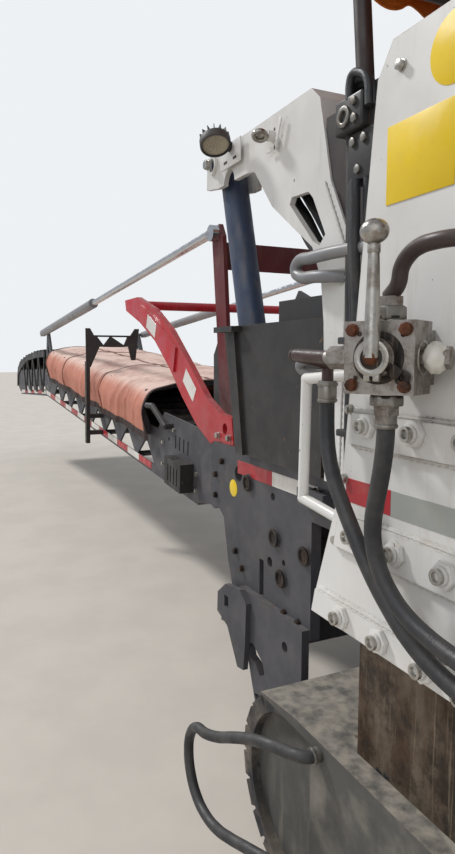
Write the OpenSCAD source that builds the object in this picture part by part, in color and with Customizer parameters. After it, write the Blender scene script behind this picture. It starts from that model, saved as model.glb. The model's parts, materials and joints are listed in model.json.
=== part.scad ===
// Cold planer: a tracked road milling machine with a front loading conveyor.
// Lengths are millimetres. Inside each piece +X runs forward from the milling drum's axis,
// +Y is the machine's left side and +Z is up from the ground.

/* [Machine body] */
// Half width over the leg housings
body_half_w = 1170; // [1120:10:1240]
// Rear end of the engine hood, behind the drum axis
rear_reach = 3400; // [3350:10:3600]
// Height of the operator's floor
deck_z = 1950; // [1930:10:1990]
// Top of the engine hood
hood_top = 2500; // [2400:10:2700]
// Top of the canopy's roof
roof_top = 3140; // [3100:10:3300]
// Underside of the chassis between the tracks
frame_under = 1030; // [1020:5:1060]

/* [Legs and tracks] */
// Front legs, ahead of the drum axis
front_leg_x = 2270; // [2240:10:2290]
// Rear legs, behind the drum axis
rear_leg_x = 1900; // [1880:10:2000]
// Legs' middle in from the body's sides
leg_inset = 200; // [195:1:205]
// Wall of a leg housing
leg_wall = 25; // [15:1:30]
// Top of a leg housing
leg_top = 2210; // [2150:10:2250]
// Bottom of a leg housing
leg_bottom = 970; // [960:5:990]
// Length of a track over its shoes
track_len = 1660; // [1500:10:1680]
// Width of a track
track_w = 300; // [260:10:310]
// Height of a track over its shoes
track_h = 600; // [560:10:610]
// Shoes on one track
shoe_count = 42; // [30:1:48]

/* [Milling drum] */
// Height of the drum's axis
drum_z = 620; // [600:5:660]
// Radius over the pick tips
drum_tip_r = 490; // [460:5:500]
// Gap from the drum's ends to the body's sides
drum_gap = 170; // [165:5:190]
// Picks in one turn of the scroll
picks_per_turn = 16; // [12:1:18]
// Turns of each half scroll
scroll_turns = 3; // [2:1:3]

/* [Gallows and front plates] */
// Front plates and gallows in from the body's sides
cheek_inset = 340; // [330:1:345]
// Top of the gallows
gallows_top = 2412; // [2405:1:2430]
// Thickness of a gallows plate
gallows_t = 20; // [12:1:20]
// Thickness of a front plate
cheek_t = 40; // [25:1:40]
// Slewing axis, ahead of the drum axis
slew_x = 4150; // [4140:5:4180]

/* [Conveyors] */
// Half width of the primary conveyor
primary_half_w = 460; // [420:5:465]
// Angle that the primary conveyor climbs
primary_climb = 22; // [21:0.5:22.5]
// Slew of the discharge conveyor to the right as it stands
slew_rest = -1; // [-3:0.5:3]
// Height of the discharge conveyor's hinge
hinge_z = 920; // [910:5:940]
// Hinge ahead of the slewing axis
hinge_u = 420; // [410:5:440]
// Discharge conveyor from its hinge to the fold in its frame
fold_s = 5100; // [5050:10:5300]
// Head section of the discharge conveyor, from the fold to its end
head_len = 2550; // [2500:10:2700]
// Half width of the discharge conveyor's side frames
discharge_half_w = 560; // [550:5:565]
// Angle that the discharge conveyor climbs as it stands
discharge_climb = 4.6; // [4:0.1:5]
// Angle that the head section drops from the rest
head_drop = 7; // [5:0.5:8]
// Height of the cover's top above the hinge
cover_top = 420; // [410:5:440]

/* [Hidden] */
$fn = 48;
fit = 0.3;        // running gap of pins, and the seat gap between moving pieces

// The middle of the machine's outline, which becomes the origin.
tip_u = hinge_u + fold_s * cos(discharge_climb) + head_len * cos(discharge_climb - head_drop);
tip_x = slew_x + tip_u * cos(slew_rest) + discharge_half_w * abs(sin(slew_rest));
mid_x = (tip_x - rear_reach) / 2;

// Widths that follow the body's.
leg_y = body_half_w - leg_inset;
cheek_y = body_half_w - cheek_inset;
drum_w = 2 * (body_half_w - drum_gap);
box_half_w = body_half_w - 70;

module placed() { translate([-mid_x, 0, 0]) children(); }
module sides() { children(); mirror([0, 1, 0]) children(); }
// A plate with its outline in X and Z, from y to y + t.
module xz(y, t) { translate([0, y + t, 0]) rotate([90, 0, 0]) linear_extrude(t) children(); }
// A box between two corners.
module span(a, b) { translate(a) cube(b - a); }
// A bar along Y, from y to y + l.
module ybar(x, y, z, r, l) { translate([x, y, z]) rotate([-90, 0, 0]) cylinder(r = r, h = l); }
// A round bar between two points.
module rod(a, b, r) {
    d = b - a;
    translate(a) rotate([0, acos(d[2] / norm(d)), atan2(d[1], d[0])]) cylinder(r = r, h = norm(d));
}
// Round bars along a list of points, with slightly fuller balls at the bends.
module pipe(pts, r) {
    for (i = [0:len(pts) - 2]) rod(pts[i], pts[i + 1], r);
    for (i = [1:len(pts) - 2]) translate(pts[i]) sphere(r = 1.04 * r);
}

// Leg housings: an upper box round the column and a wider foot, whose front edge slants.
col_y0 = leg_y - 130;            // column, inner face
col_y1 = leg_y + 150;            // column, outer face
leg_y0 = col_y0 - 20 - leg_wall; // housing, inner face
col_back = -220;                 // column, from the leg's centre
col_front = 100;                 // upper part of the column
foot_front = 215;                // lower part of the column
slide_gap = 12;
leg_outline = [[col_back - slide_gap - leg_wall, leg_bottom], [350, leg_bottom], [230, 1320], [135, leg_top - 60],
    [90, leg_top], [col_back - slide_gap - leg_wall, leg_top]];
leg_hollow = [[col_back - slide_gap, leg_bottom - 1], [foot_front + 20, leg_bottom - 1], [foot_front + 15, 1250],
    [col_front + slide_gap, 1300], [col_front + slide_gap, 2140], [col_back - slide_gap, 2140]];

module leg_housing() {
    difference() {
        xz(leg_y0, body_half_w - leg_y0) polygon(leg_outline);
        xz(col_y0 - fit, col_y1 - col_y0 + 2 * fit) polygon(leg_hollow);
    }
    // clamping bars for the wear strips
    xz(body_half_w, 14) polygon([[col_back, 1160], [240, 1160], [225, 1240], [col_back, 1240]]);
    xz(body_half_w, 14) polygon([[col_back, 1405], [190, 1405], [180, 1475], [col_back, 1475]]);
    xz(body_half_w, 14) polygon([[col_back, leg_bottom], [330, leg_bottom], [315, 1030], [col_back, 1030]]);
}
module leg_housings() {
    color("gainsboro") placed() sides() {
        translate([front_leg_x, 0, 0]) leg_housing();
        translate([-rear_leg_x, 0, 0]) mirror([1, 0, 0]) leg_housing();
    }
}

// Chassis: two side beams that step over the drum box, with cross members.
beam_y0 = 520;
frame_top = 1560;
frame_rear = -rear_leg_x - 1300;
tie_r = 20;        // tie-down bores
tow_r = 26;        // towing bore
hood_pin = [-rear_reach + 60, frame_top - 20];
hood_pin_r = 15;
hood_lug_y = 600;
hood_lug_t = 40;
module main_frame() {
    color("dimgray") placed() {
        sides() xz(beam_y0, leg_y0 - beam_y0) polygon([[frame_rear, frame_under], [-1150, frame_under],
            [-1000, box_top], [1000, box_top], [1150, frame_under], [3190, frame_under],
            [3190, 1200], [2830, 1200], [2560, frame_top], [frame_rear, frame_top]]);
        span([frame_rear, -beam_y0, frame_under], [frame_rear + 200, beam_y0, frame_top]);
        span([-1300, -beam_y0, 1300], [-1150, beam_y0, frame_top]);
        span([-rear_leg_x - 100, -beam_y0, frame_under + 100], [-rear_leg_x + 100, beam_y0, frame_top]);
        // towing lug
        difference() {
            xz(-20, 40) polygon([[frame_rear + 1, 1120], [frame_rear - 100, 1180], [frame_rear - 145, 1240],
                [frame_rear - 100, 1300], [frame_rear + 1, 1360]]);
            ybar(frame_rear - 90, -21, 1240, tow_r, 42);
        }
        // lugs of the hood's hinge
        sides() difference() {
            union() {
                xz(hood_lug_y, hood_lug_t) polygon([[frame_rear, frame_top - 150], [frame_rear, frame_top - 5],
                    [hood_pin[0], frame_top - 5], [hood_pin[0], hood_pin[1] - 25]]);
                ybar(hood_pin[0], hood_lug_y, hood_pin[1], 2 * hood_pin_r, hood_lug_t);
            }
            ybar(hood_pin[0], hood_lug_y - 1, hood_pin[1], hood_pin_r + fit, hood_lug_t + 2);
        }
    }
}

// Front plates: dark cheeks ahead of the front tracks, joined by the nose that carries the slewing pin.
nose_z = 850;
nose_top = 1050;
module front_plates() {
    color("#4a4c50") placed() {
        sides() difference() {
            xz(cheek_y - cheek_t / 2, cheek_t) polygon([[2850, 1210], [2850, frame_under], [3125, frame_under],
                [3125, 600], [3240, 560], [3745, 560], [3800, 690], [3850, 880], [3890, 905],
                [4000, 920], [3990, 1080], [3980, 1185], [3950, 1210]]);
            ybar(3420, cheek_y - cheek_t, 800, tie_r, 2 * cheek_t);
            ybar(3700, cheek_y - cheek_t, 1100, 34, 2 * cheek_t);
            // slot of the floating skid, and small holes
            span([3470, cheek_y - cheek_t, 640], [3505, cheek_y + cheek_t, 790]);
            ybar(3400, cheek_y - cheek_t, 1062, 16, 2 * cheek_t);
            ybar(3313, cheek_y - cheek_t, 827, 12, 2 * cheek_t);
        }
        // plugs
        sides() for (p = [[3376, 909], [3322, 766], [3160, 900], [3600, 1080]])
            ybar(p[0], cheek_y, p[1], 36, cheek_t / 2 + 8);
        // long bar with its end block along the cheek's top
        sides() span([3000, cheek_y + cheek_t / 2, 1090], [3160, cheek_y + 60, 1150]);
        sides() span([2960, cheek_y + cheek_t / 2 - 1, 1165], [3560, cheek_y + 36, 1200]);
        // stays that bolt the cheeks to the chassis beams
        sides() span([2850, leg_y0, frame_under + 20], [3180, cheek_y - cheek_t / 2, 1150]);
    }
}
// the cross beam that carries the slewing console, and the plate below it
module slew_nose() {
    color("#4a4c50") placed() {
        span([3440, -cheek_y + cheek_t / 2, 420], [3458, cheek_y - cheek_t / 2, nose_z]);
        difference() {
            union() {
                span([3450, -cheek_y + cheek_t / 2, nose_z], [3700, cheek_y - cheek_t / 2, nose_top]);
                hull() {
                    span([3690, -400, nose_z], [3700, 400, nose_top]);
                    translate([slew_x, 0, nose_z]) cylinder(r = 190, h = nose_top - nose_z, $fn = 32);
                }
            }
            translate([slew_x, 0, nose_z - 1]) cylinder(r = pin_r + fit, h = nose_top - nose_z + 2);
        }
    }
}

// Skid plates under the cheeks, hung in hook-shaped slots.
module skid_plates() {
    color("#3a3b3e") placed() sides() {
        difference() {
            xz(cheek_y + cheek_t / 2 + fit, 30) polygon([[3130, 640], [3620, 640], [3800, 545], [3810, 420],
                [3700, 440], [3600, 470], [3560, 400], [3500, 250], [3440, 110], [3380, 80], [3300, 120], [3130, 430]]);
            xz(cheek_y, 100) polygon([[3545, 425], [3500, 440], [3420, 395], [3400, 350], [3440, 330], [3480, 365],
                [3525, 375]]);
            xz(cheek_y, 100) polygon([[3490, 235], [3455, 245], [3350, 225], [3345, 195], [3440, 185]]);
            ybar(3248, cheek_y, 532, 20, 100);
        }
        // hanger plate with its slot
        difference() {
            xz(cheek_y + cheek_t / 2 + 30 + fit, 22) polygon([[3520, 600], [3580, 640], [3720, 620], [3800, 560],
                [3805, 470], [3700, 440], [3600, 300], [3545, 310], [3530, 420]]);
            xz(cheek_y, 120) polygon([[3690, 520], [3730, 520], [3730, 570], [3690, 570]]);
        }
    }
}

// Gallows: two plates a side with a top cover, over the lift cylinders.
gal_in = cheek_y - 85;           // inner plate, inner face
gal_out = cheek_y + 65;          // outer plate, inner face
cheek_top = 1210;
gallows_outline = [[2850, cheek_top], [2830, 1900], [2948, 2114], [2986, 2267], [3012, gallows_top - 42],
    [3060, gallows_top], [3870, gallows_top], [3876, 2290], [3760, 2272], [3500, 2268], [3438, 2258], [3305, 2110],
    [3044, 1935], [2992, 1829], [2974, 1700], [2955, cheek_top]];
gallows_window = [[3172, 2112], [3071, 2108], [3045, 2085], [2972, 1962], [3004, 1934], [3040, 1952], [3185, 2092]];
lift_top = [3800, 2372];         // pin of the lift cylinders, in X and Z
module gallows() {
    color("gainsboro") placed() {
        sides() difference() {
            union() {
                xz(gal_in, gallows_t) polygon(gallows_outline);
                xz(gal_out, gallows_t) polygon(gallows_outline);
                span([3060, gal_in, gallows_top - gallows_t], [3640, gal_out + gallows_t, gallows_top]);
                // back cover between the plates
                xz(gal_in, gal_out - gal_in + gallows_t) polygon([[2850, cheek_top], [2830, 1900], [2948, 2114],
                    [2986, 2267], [3012, gallows_top - 42], [3060, gallows_top], [3078, gallows_top - 16],
                    [3034, gallows_top - 56], [3008, 2262], [2969, 2105], [2852, 1896], [2872, cheek_top]]);
                ybar(lift_top[0], gal_in - 12, lift_top[1], 38, 12);
                ybar(lift_top[0], gal_out + gallows_t, lift_top[1], 38, 12);
                // rail bracket and eyelet
                ybar(3300, gal_out + gallows_t, 2340, 18, 26);
            }
            ybar(lift_top[0], gal_in - 20, lift_top[1], lift_pin_r + fit, 220);
            xz(gal_in - 1, 220) polygon(gallows_window);
            ybar(3655, gal_in - 1, 2272, 48, 220);
        }
        // cross tube
        ybar(3080, -gal_in, 2250, 60, 2 * gal_in);
    }
}

// Boxes round the lower ends of the lift cylinders, open inward for the conveyor's lugs.
lift_box_z = 1715;
module cylinder_boxes() {
    color("#2b2a2c") placed() sides() {
        difference() {
            xz(cheek_y - 90, 166) polygon([[2990, cheek_top], [3610, cheek_top], [3715, 1680], [3715, lift_box_z],
                [2990, lift_box_z]]);
            xz(cheek_y - 91, 152) polygon([[3010, cheek_top - 1], [3592, cheek_top - 1], [3697, 1680],
                [3697, lift_box_z + 1], [3440, lift_box_z + 1], [3440, lift_box_z - 15], [3010, lift_box_z - 15]]);
        }
        // worn edge strip, corner bracket and lower block on the outer wall
        xz(cheek_y + 75, 16) polygon([[3520, cheek_top], [3585, cheek_top], [3660, 1640], [3660, 1690], [3600, 1690]]);
        span([3560, cheek_y + 75, 1690], [3730, cheek_y + 120, 1712]);
        span([3010, cheek_y - 60, lift_box_z - 1], [3330, cheek_y + 40, 1790]);
    }
}

// Red guard: sickle arms on the cheeks, joined by a tube over the conveyor.
arm_y = cheek_y - 14;
guard_tube_r = 28;
guard_tube_z = 1915;             // clears the cover with the conveyor raised and slewed
module guard_frame() {
    color("#c0202c") placed() {
        sides() {
            difference() {
                xz(arm_y, 28) polygon([[3760, cheek_top], [3960, cheek_top], [4010, 1190], [4180, 1260], [4380, 1390],
                    [4560, 1530], [4800, 1680], [5080, 1796], [5370, 1884], [5390, 1950], [5120, 1950],
                    [4800, 1860], [4530, 1730], [4280, 1560], [4050, 1400], [3900, 1340], [3780, 1330]]);
                ybar(3850, arm_y - 1, 1275, 25, 40);
            }
            xz(arm_y + 28, 10) polygon([[4480, 1510], [4800, 1700], [5060, 1800], [5040, 1900], [4800, 1820],
                [4440, 1640]]);
        }
        ybar(5300, -arm_y, guard_tube_z, guard_tube_r, 2 * arm_y);
    }
}

// Drum box: open below and at the front, where the conveyor takes the chips.
box_top = 1250;
box_x = 780;
module drum_housing() {
    color("gainsboro") placed() {
        difference() {
            span([-box_x, -box_half_w, 320], [box_x, box_half_w, box_top]);
            difference() {
                span([-box_x + 25, -box_half_w + 35, 300], [box_x - 25, box_half_w - 35, box_top - 25]);
                // the box's rounded crown
                difference() {
                    span([-box_x, -box_half_w, drum_z + 240], [box_x, box_half_w, box_top]);
                    ybar(0, -box_half_w - 1, drum_z - 60, 640, 2 * box_half_w + 2);
                }
            }
            span([box_x - 30, -430, 310], [box_x + 1, 430, 860]);
            sides() ybar(0, box_half_w - 50, drum_z, 150 + fit, 80);
        }
        sides() {
            // drive hubs
            difference() {
                ybar(0, box_half_w - 34, drum_z, 230, 60);
                ybar(0, box_half_w - 100, drum_z, 150 + fit, 160);
            }
            // ears that carry the primary conveyor's tail
            difference() {
                xz(primary_half_w + 2, 24) polygon([[box_x, 420], [primary_tail[0], 490], [primary_tail[0] + 60, 530],
                    [primary_tail[0] + 60, 590], [primary_tail[0], 630], [box_x, 720]]);
                ybar(primary_tail[0], primary_half_w, primary_tail[1], tail_pin_r + fit, 30);
            }
        }
        // scraper
        span([-box_x - 30, -box_half_w + 60, 110], [-box_x, box_half_w - 60, 700]);
    }
}
module side_plates() {
    color("#4a4c50") placed() sides() difference() {
        xz(box_half_w, 30) polygon([[-940, 130], [-860, 60], [860, 60], [940, 130], [900, 620], [600, 980],
            [-600, 980], [-900, 620]]);
        xz(box_half_w - 10, 60) polygon([[-200, 300], [200, 300], [260, 620], [150, 860], [-150, 860], [-260, 620]]);
    }
}

// Side panels and tanks between the legs.
tank_top = deck_z - 38;
module side_tanks() {
    color("gainsboro") placed() sides() difference() {
        xz(leg_y0, body_half_w - leg_y0 - 10) polygon([[-rear_leg_x + 260, 1010], [-1000, 1010],
            [-940, box_top + 30], [1150, box_top + 30], [1250, 1010], [front_leg_x - 262, 1010],
            [front_leg_x - 262, tank_top], [-rear_leg_x + 260, tank_top]]);
        // doors' joints
        for (x = [-500, 0, 500, 1000]) span([x - 4, body_half_w - 16, box_top + 60], [x + 4, body_half_w, tank_top - 40]);
    }
}

// Engine and its hood.
hood_front = 1250;
hood_wall = 20;
hood_seat = frame_top + fit;
module engine_block() {
    color("#5a5c5e") placed() span([-rear_reach + 350, -440, frame_top], [-1500, 440, 2300]);
}
hood_outline = [[-rear_reach, hood_seat], [-hood_front, hood_seat], [-hood_front, hood_top - 20],
    [-hood_front - 80, hood_top], [-rear_reach + 420, hood_top], [-rear_reach + 60, hood_top - 260],
    [-rear_reach, hood_top - 420]];
module engine_hood() {
    color("gainsboro") placed() {
        // ears with the hinge pins
        sides() {
            xz(700, hood_wall) polygon([[-rear_reach, hood_seat + 100], [-rear_reach, hood_seat], [hood_pin[0] - 32,
                hood_pin[1] - 26], [hood_pin[0] + 32, hood_pin[1] - 26], [hood_pin[0] + 90, hood_seat],
                [hood_pin[0] + 90, hood_seat + 100]]);
            ybar(hood_pin[0], hood_lug_y - 10, hood_pin[1], hood_pin_r, 710 - hood_lug_y);
        }
        difference() {
        xz(-720, 1440) polygon(hood_outline);
        xz(-720 + hood_wall, 1440 - 2 * hood_wall) polygon([[-rear_reach + hood_wall, hood_seat - 1],
            [-hood_front - hood_wall, hood_seat - 1], [-hood_front - hood_wall, hood_top - 20 - hood_wall],
            [-rear_reach + 430, hood_top - hood_wall], [-rear_reach + 75, hood_top - 270 - hood_wall],
            [-rear_reach + hood_wall, hood_top - 430]]);
        span([-rear_reach - 1, -520, 1720], [-rear_reach + 30, 520, 2020]);
        // side vents
        for (x = [-2900:60:-2300]) span([x, -721, 1900], [x + 25, 721, 2250]);
        }
    }
}
module radiator_grille() {
    color("#303234") placed() {
        difference() {
            span([-rear_reach + 2, -520, 1720], [-rear_reach + 19, 520, 2020]);
            span([-rear_reach, -495, 1745], [-rear_reach + 30, 495, 1995]);
        }
        for (z = [1760:32:1985]) span([-rear_reach + 4, -500, z], [-rear_reach + 16, 500, z + 12]);
    }
}
module exhaust() {
    color("#6b6660") placed() {
        translate([-1130, 560, deck_z]) cylinder(r = 70, h = 620);
        translate([-1130, 560, deck_z + 600]) rotate([-35, 0, 0]) cylinder(r = 55, h = 260);
    }
}

// Operator's platform.
deck_front = 2640;
module deck() {
    color("#55585c") placed() {
        span([-1200, -body_half_w + 10, deck_z - 38], [front_leg_x - 265, body_half_w - 10, deck_z]);
        span([front_leg_x - 265, -leg_y0, deck_z - 38], [deck_front, leg_y0, deck_z]);
        // pillars on the chassis beams
        sides() for (x = [-1100, 300, 1900]) span([x, beam_y0 + 20, frame_top], [x + 120, leg_y0 - 20, deck_z - 38]);
        // front wall
        span([deck_front - 30, -leg_y0, deck_z], [deck_front, leg_y0, 2420]);
    }
}
ladder_x = -980;
ladder_reach = 175;
module ladders() {
    color("#4a4c50") placed() sides() {
        for (x = [ladder_x, ladder_x + 420])
            span([x, body_half_w - 10, 480], [x + 40, body_half_w + ladder_reach - 60, deck_z]);
        for (z = [520:280:1800])
            span([ladder_x + 30, body_half_w - 10, z], [ladder_x + 430, body_half_w + ladder_reach, z + 30]);
    }
}
module handrails() {
    color("#d8d9d6") placed() sides() {
        pipe([[-600, body_half_w - 60, deck_z], [-600, body_half_w - 60, deck_z + 950],
            [1700, body_half_w - 60, deck_z + 950], [1700, body_half_w - 60, deck_z]], 19);
        rod([-600, body_half_w - 60, deck_z + 480], [1700, body_half_w - 60, deck_z + 480], 16);
        rod([550, body_half_w - 60, deck_z], [550, body_half_w - 60, deck_z + 950], 19);
    }
}
module control_desk() {
    color("#3c3e42") placed() sides() {
        xz(420, 320) polygon([[2100, deck_z], [2600, deck_z], [2600, 2560], [2480, 2600], [2120, 2480]]);
    }
}
module seats() {
    color("#2c2d30") placed() sides() {
        translate([1250, 620, deck_z]) cylinder(r = 70, h = 400);
        span([1000, 400, deck_z + 400], [1480, 860, deck_z + 500]);
        xz(420, 420) polygon([[1000, deck_z + 500], [1100, deck_z + 500], [1020, deck_z + 980], [930, deck_z + 980]]);
    }
}

// Canopy: leaning posts and a fabric roof with a scalloped valance.
roof_front = 3560;
roof_back = -700;
roof_half_w = 1080;
roof_t = 66;
post_y = cheek_y + 55;
roof_rail_z = roof_top - roof_t - 22 - fit;
module canopy_posts() {
    color("#3a2620") placed() {
        sides() {
            rod([2815, post_y, 2210], [2905, post_y, roof_rail_z + 12], 25);
            // foot on the back of the gallows
            xz(cheek_y - 20, 100) polygon([[2770, 1960], [2861, 1960], [2946, 2116], [2983, 2267], [2983, 2300],
                [2770, 2300]]);
            rod([-400, post_y, deck_z], [-400, post_y, roof_rail_z + 13], 25);
            rod([roof_back + 60, post_y, roof_rail_z], [roof_front - 60, post_y, roof_rail_z], 22);
        }
        for (x = [roof_back + 80, 1400, roof_front - 80]) rod([x, -post_y, roof_rail_z], [x, post_y, roof_rail_z], 18);
    }
}
module canopy_roof() {
    scallops = 9;
    step = 2 * roof_half_w / scallops;
    color("#e2761b") placed() {
        span([roof_back, -roof_half_w, roof_top - roof_t], [roof_front, roof_half_w, roof_top]);
        for (x = [roof_back, roof_front - 12]) translate([x, 0, roof_top - roof_t]) rotate([90, 0, 90]) linear_extrude(12)
            difference() {
                translate([-roof_half_w, -70]) square([2 * roof_half_w, 70]);
                for (i = [0:scallops]) translate([-roof_half_w + i * step, -90]) circle(r = step * 0.36);
            }
    }
}

// Rotary valve on the left front leg.
valve_at = [2282, body_half_w + 14, 1595];
valve_turn = 30;
valve_back = 45;
valve_face = 135;
valve_mid = 90;
module valve_frame() { translate(valve_at) rotate([0, 0, valve_turn]) children(); }
module valve() {
    color("#8b8d8f") placed() {
        // welded foot on the housing
        translate([0, 0, 1545]) linear_extrude(100) polygon([[2217, body_half_w], [2307, body_half_w],
            [2307, body_half_w + 86], [2227, body_half_w + 40]]);
        valve_frame() {
            span([-65, valve_back, -65], [65, valve_face, 65]);
            ybar(0, valve_face - 1, 0, 34, 15);
            // unions above, below and at the sides
            translate([0, valve_mid, 64]) cylinder(r = 26, h = 45, $fn = 6);
            translate([0, valve_mid, -105]) cylinder(r = 24, h = 41, $fn = 6);
            translate([64, valve_mid, 0]) rotate([0, 90, 0]) cylinder(r = 22, h = 51, $fn = 6);
            translate([-115, valve_mid, 0]) rotate([0, 90, 0]) cylinder(r = 20, h = 51, $fn = 6);
        }
        // steel pipe from the front union, turned down to the hose
        pipe([[2335, body_half_w + 148, 1595], [2467, body_half_w + 150, 1600], [2489, body_half_w + 52, 1580],
            [2489, body_half_w + 52, 1520]], 13);
        // bulkhead where the hoses end
        span([1940, body_half_w - 10, 985], [2000, body_half_w + 80, 1120]);
    }
}
module valve_lever() {
    color("silver") placed() valve_frame() {
        ybar(0, valve_face + 14 + fit, 0, 30, 18);
        translate([0, valve_face + 31, 0]) cylinder(r1 = 15, r2 = 9, h = 200);
        translate([0, valve_face + 31, 212]) sphere(r = 20);
    }
}
module grab_handles() {
    color("gainsboro") placed() sides() difference() {
        pipe([[front_leg_x + 160, body_half_w - 30, 1560], [front_leg_x + 420, body_half_w - 20, 1540],
            [front_leg_x + 430, body_half_w - 20, 1230], [front_leg_x + 200, body_half_w - 30, 1200]], 14);
        translate([front_leg_x, 0, 0]) xz(leg_y0, body_half_w - leg_y0) polygon(leg_outline);
    }
}
lamp_x = 3876;
module work_lamps() {
    color("#202124") placed() sides() {
        // plate on the gallows' tip and a round lamp on it
        span([lamp_x, gal_out - 40, 2300], [lamp_x + 12, gal_out + gallows_t, 2440]);
        translate([lamp_x + 12, gal_out - 10, 2420]) rotate([0, 90, 0]) cylinder(r = 18, h = 30);
        translate([lamp_x + 42, gal_out - 10, 2420]) rotate([0, 90, 0]) cylinder(r1 = 35, r2 = 58, h = 50);
    }
}

// Columns that slide in the leg housings.
column_top = 1780;
yoke_top = 640;
king_r = 90;
king_h = 220;
module column() {
    color("#5b4334") difference() {
        xz(col_y0, col_y1 - col_y0) polygon([[col_back, yoke_top + fit], [foot_front, yoke_top + fit],
            [foot_front, 930], [col_front, 940], [col_front, column_top], [col_back, column_top]]);
        // socket that turns on the crawler's king pin
        translate([0, leg_y, yoke_top]) cylinder(r = king_r + fit, h = king_h + fit);
    }
}
// Track frame with its sprocket, idler and rollers, and the yoke on top.
wheel_x = track_len / 2 - track_h / 2;
band = 55;
module crawler_body() {
    axle_z = track_h / 2;
    color("#4d4f53") {
        // yoke
        difference() {
            xz(leg_y - 210, 420) polygon([[-420, yoke_top], [-420, track_h + 12], [-330, track_h + 12], [-330, 240],
                [330, 240], [330, track_h + 12], [600, track_h + 12], [600, track_h + 20], [420, yoke_top]]);
            span([-700, leg_y - track_w / 2 - 12, 100], [700, leg_y + track_w / 2 + 12, track_h + 12]);
        }
        translate([0, leg_y, yoke_top - 1]) cylinder(r = king_r, h = king_h);
        // pivot between the yoke's sides
        ybar(0, leg_y - track_w / 2 - 12, axle_z + 20, 60, track_w + 24);
        // frame
        span([-wheel_x + 60, leg_y - 90, axle_z - 110], [wheel_x - 60, leg_y + 90, axle_z + 90]);
        for (x = [-wheel_x, wheel_x]) ybar(x, leg_y - 120, axle_z, track_h / 2 - band - fit, 240);
        for (x = [-360, -180, 0, 180, 360]) ybar(x, leg_y - 110, axle_z - 150, 75, 220);
    }
}
// One shoe is a raised step in the band's outline.
function path_len() = 4 * wheel_x + 2 * PI * track_h / 2;
function on_loop(s, out) =
    let (r = track_h / 2, arc = PI * r, straight = 2 * wheel_x)
    s < straight ? [-wheel_x + s, -r - out] :
    s < straight + arc ? let (a = (s - straight) / arc * 180 - 90) [wheel_x + (r + out) * cos(a), (r + out) * sin(a)] :
    s < 2 * straight + arc ? [wheel_x - (s - straight - arc), r + out] :
    let (a = (s - 2 * straight - arc) / arc * 180 + 90) [-wheel_x + (r + out) * cos(a), (r + out) * sin(a)];
shoe_h = 28;
module track_loop() {
    pitch = path_len() / shoe_count;
    steps = [[0.04, -shoe_h], [0.10, 0], [0.90, 0], [0.96, -shoe_h]];
    color("#26272a") translate([0, 0, track_h / 2]) xz(leg_y - track_w / 2, track_w) difference() {
        polygon([for (i = [0:shoe_count - 1]) for (st = steps) on_loop((i + st[0]) * pitch, st[1])]);
        union() {
            translate([-wheel_x, -track_h / 2 + band]) square([2 * wheel_x, track_h - 2 * band]);
            for (x = [-wheel_x, wheel_x]) translate([x, 0]) circle(r = track_h / 2 - band);
        }
    }
}
module leg_part(x, way) { placed() translate([x, 0, 0]) mirror([0, way, 0]) children(); }
module column_fl() { leg_part(front_leg_x, 0) column(); }
module column_fr() { leg_part(front_leg_x, 1) column(); }
module column_rl() { leg_part(-rear_leg_x, 0) mirror([1, 0, 0]) column(); }
module column_rr() { leg_part(-rear_leg_x, 1) mirror([1, 0, 0]) column(); }
module crawler_fl() { leg_part(front_leg_x, 0) crawler_body(); }
module crawler_fr() { leg_part(front_leg_x, 1) crawler_body(); }
module crawler_rl() { leg_part(-rear_leg_x, 0) mirror([1, 0, 0]) crawler_body(); }
module crawler_rr() { leg_part(-rear_leg_x, 1) mirror([1, 0, 0]) crawler_body(); }
module track_fl() { leg_part(front_leg_x, 0) track_loop(); }
module track_fr() { leg_part(front_leg_x, 1) track_loop(); }
module track_rl() { leg_part(-rear_leg_x, 0) track_loop(); }
module track_rr() { leg_part(-rear_leg_x, 1) track_loop(); }

// Milling drum: picks in holders on two opposed scrolls.
drum_r = drum_tip_r - 110;
module pick() {
    translate([drum_r - 15, 0, 0]) rotate([0, 0, 0]) {
        translate([0, -34, -28]) cube([62, 68, 56]);
        translate([40, 0, 0]) rotate([0, 90, 45]) translate([0, 0, -20]) cylinder(r = 24, h = 60);
        translate([40, 0, 0]) rotate([0, 90, 45]) translate([0, 0, 40]) cylinder(r1 = 19, r2 = 5, h = 60);
    }
}
module milling_drum() {
    half = drum_w / 2 - 60;
    count = picks_per_turn * scroll_turns;
    color("#6a5b50") placed() translate([0, 0, drum_z]) rotate([-90, 0, 0]) {
        translate([0, 0, -drum_w / 2]) cylinder(r = drum_r, h = drum_w);
        translate([0, 0, -drum_w / 2 - 130]) cylinder(r = 150, h = drum_w + 260);
        for (s = [-1, 1]) for (i = [0:count - 1])
            translate([0, 0, s * (half - i * half / count)])
                rotate([0, 0, s * i * 360 / picks_per_turn + (s > 0 ? 0 : 11)]) pick();
    }
}

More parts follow.
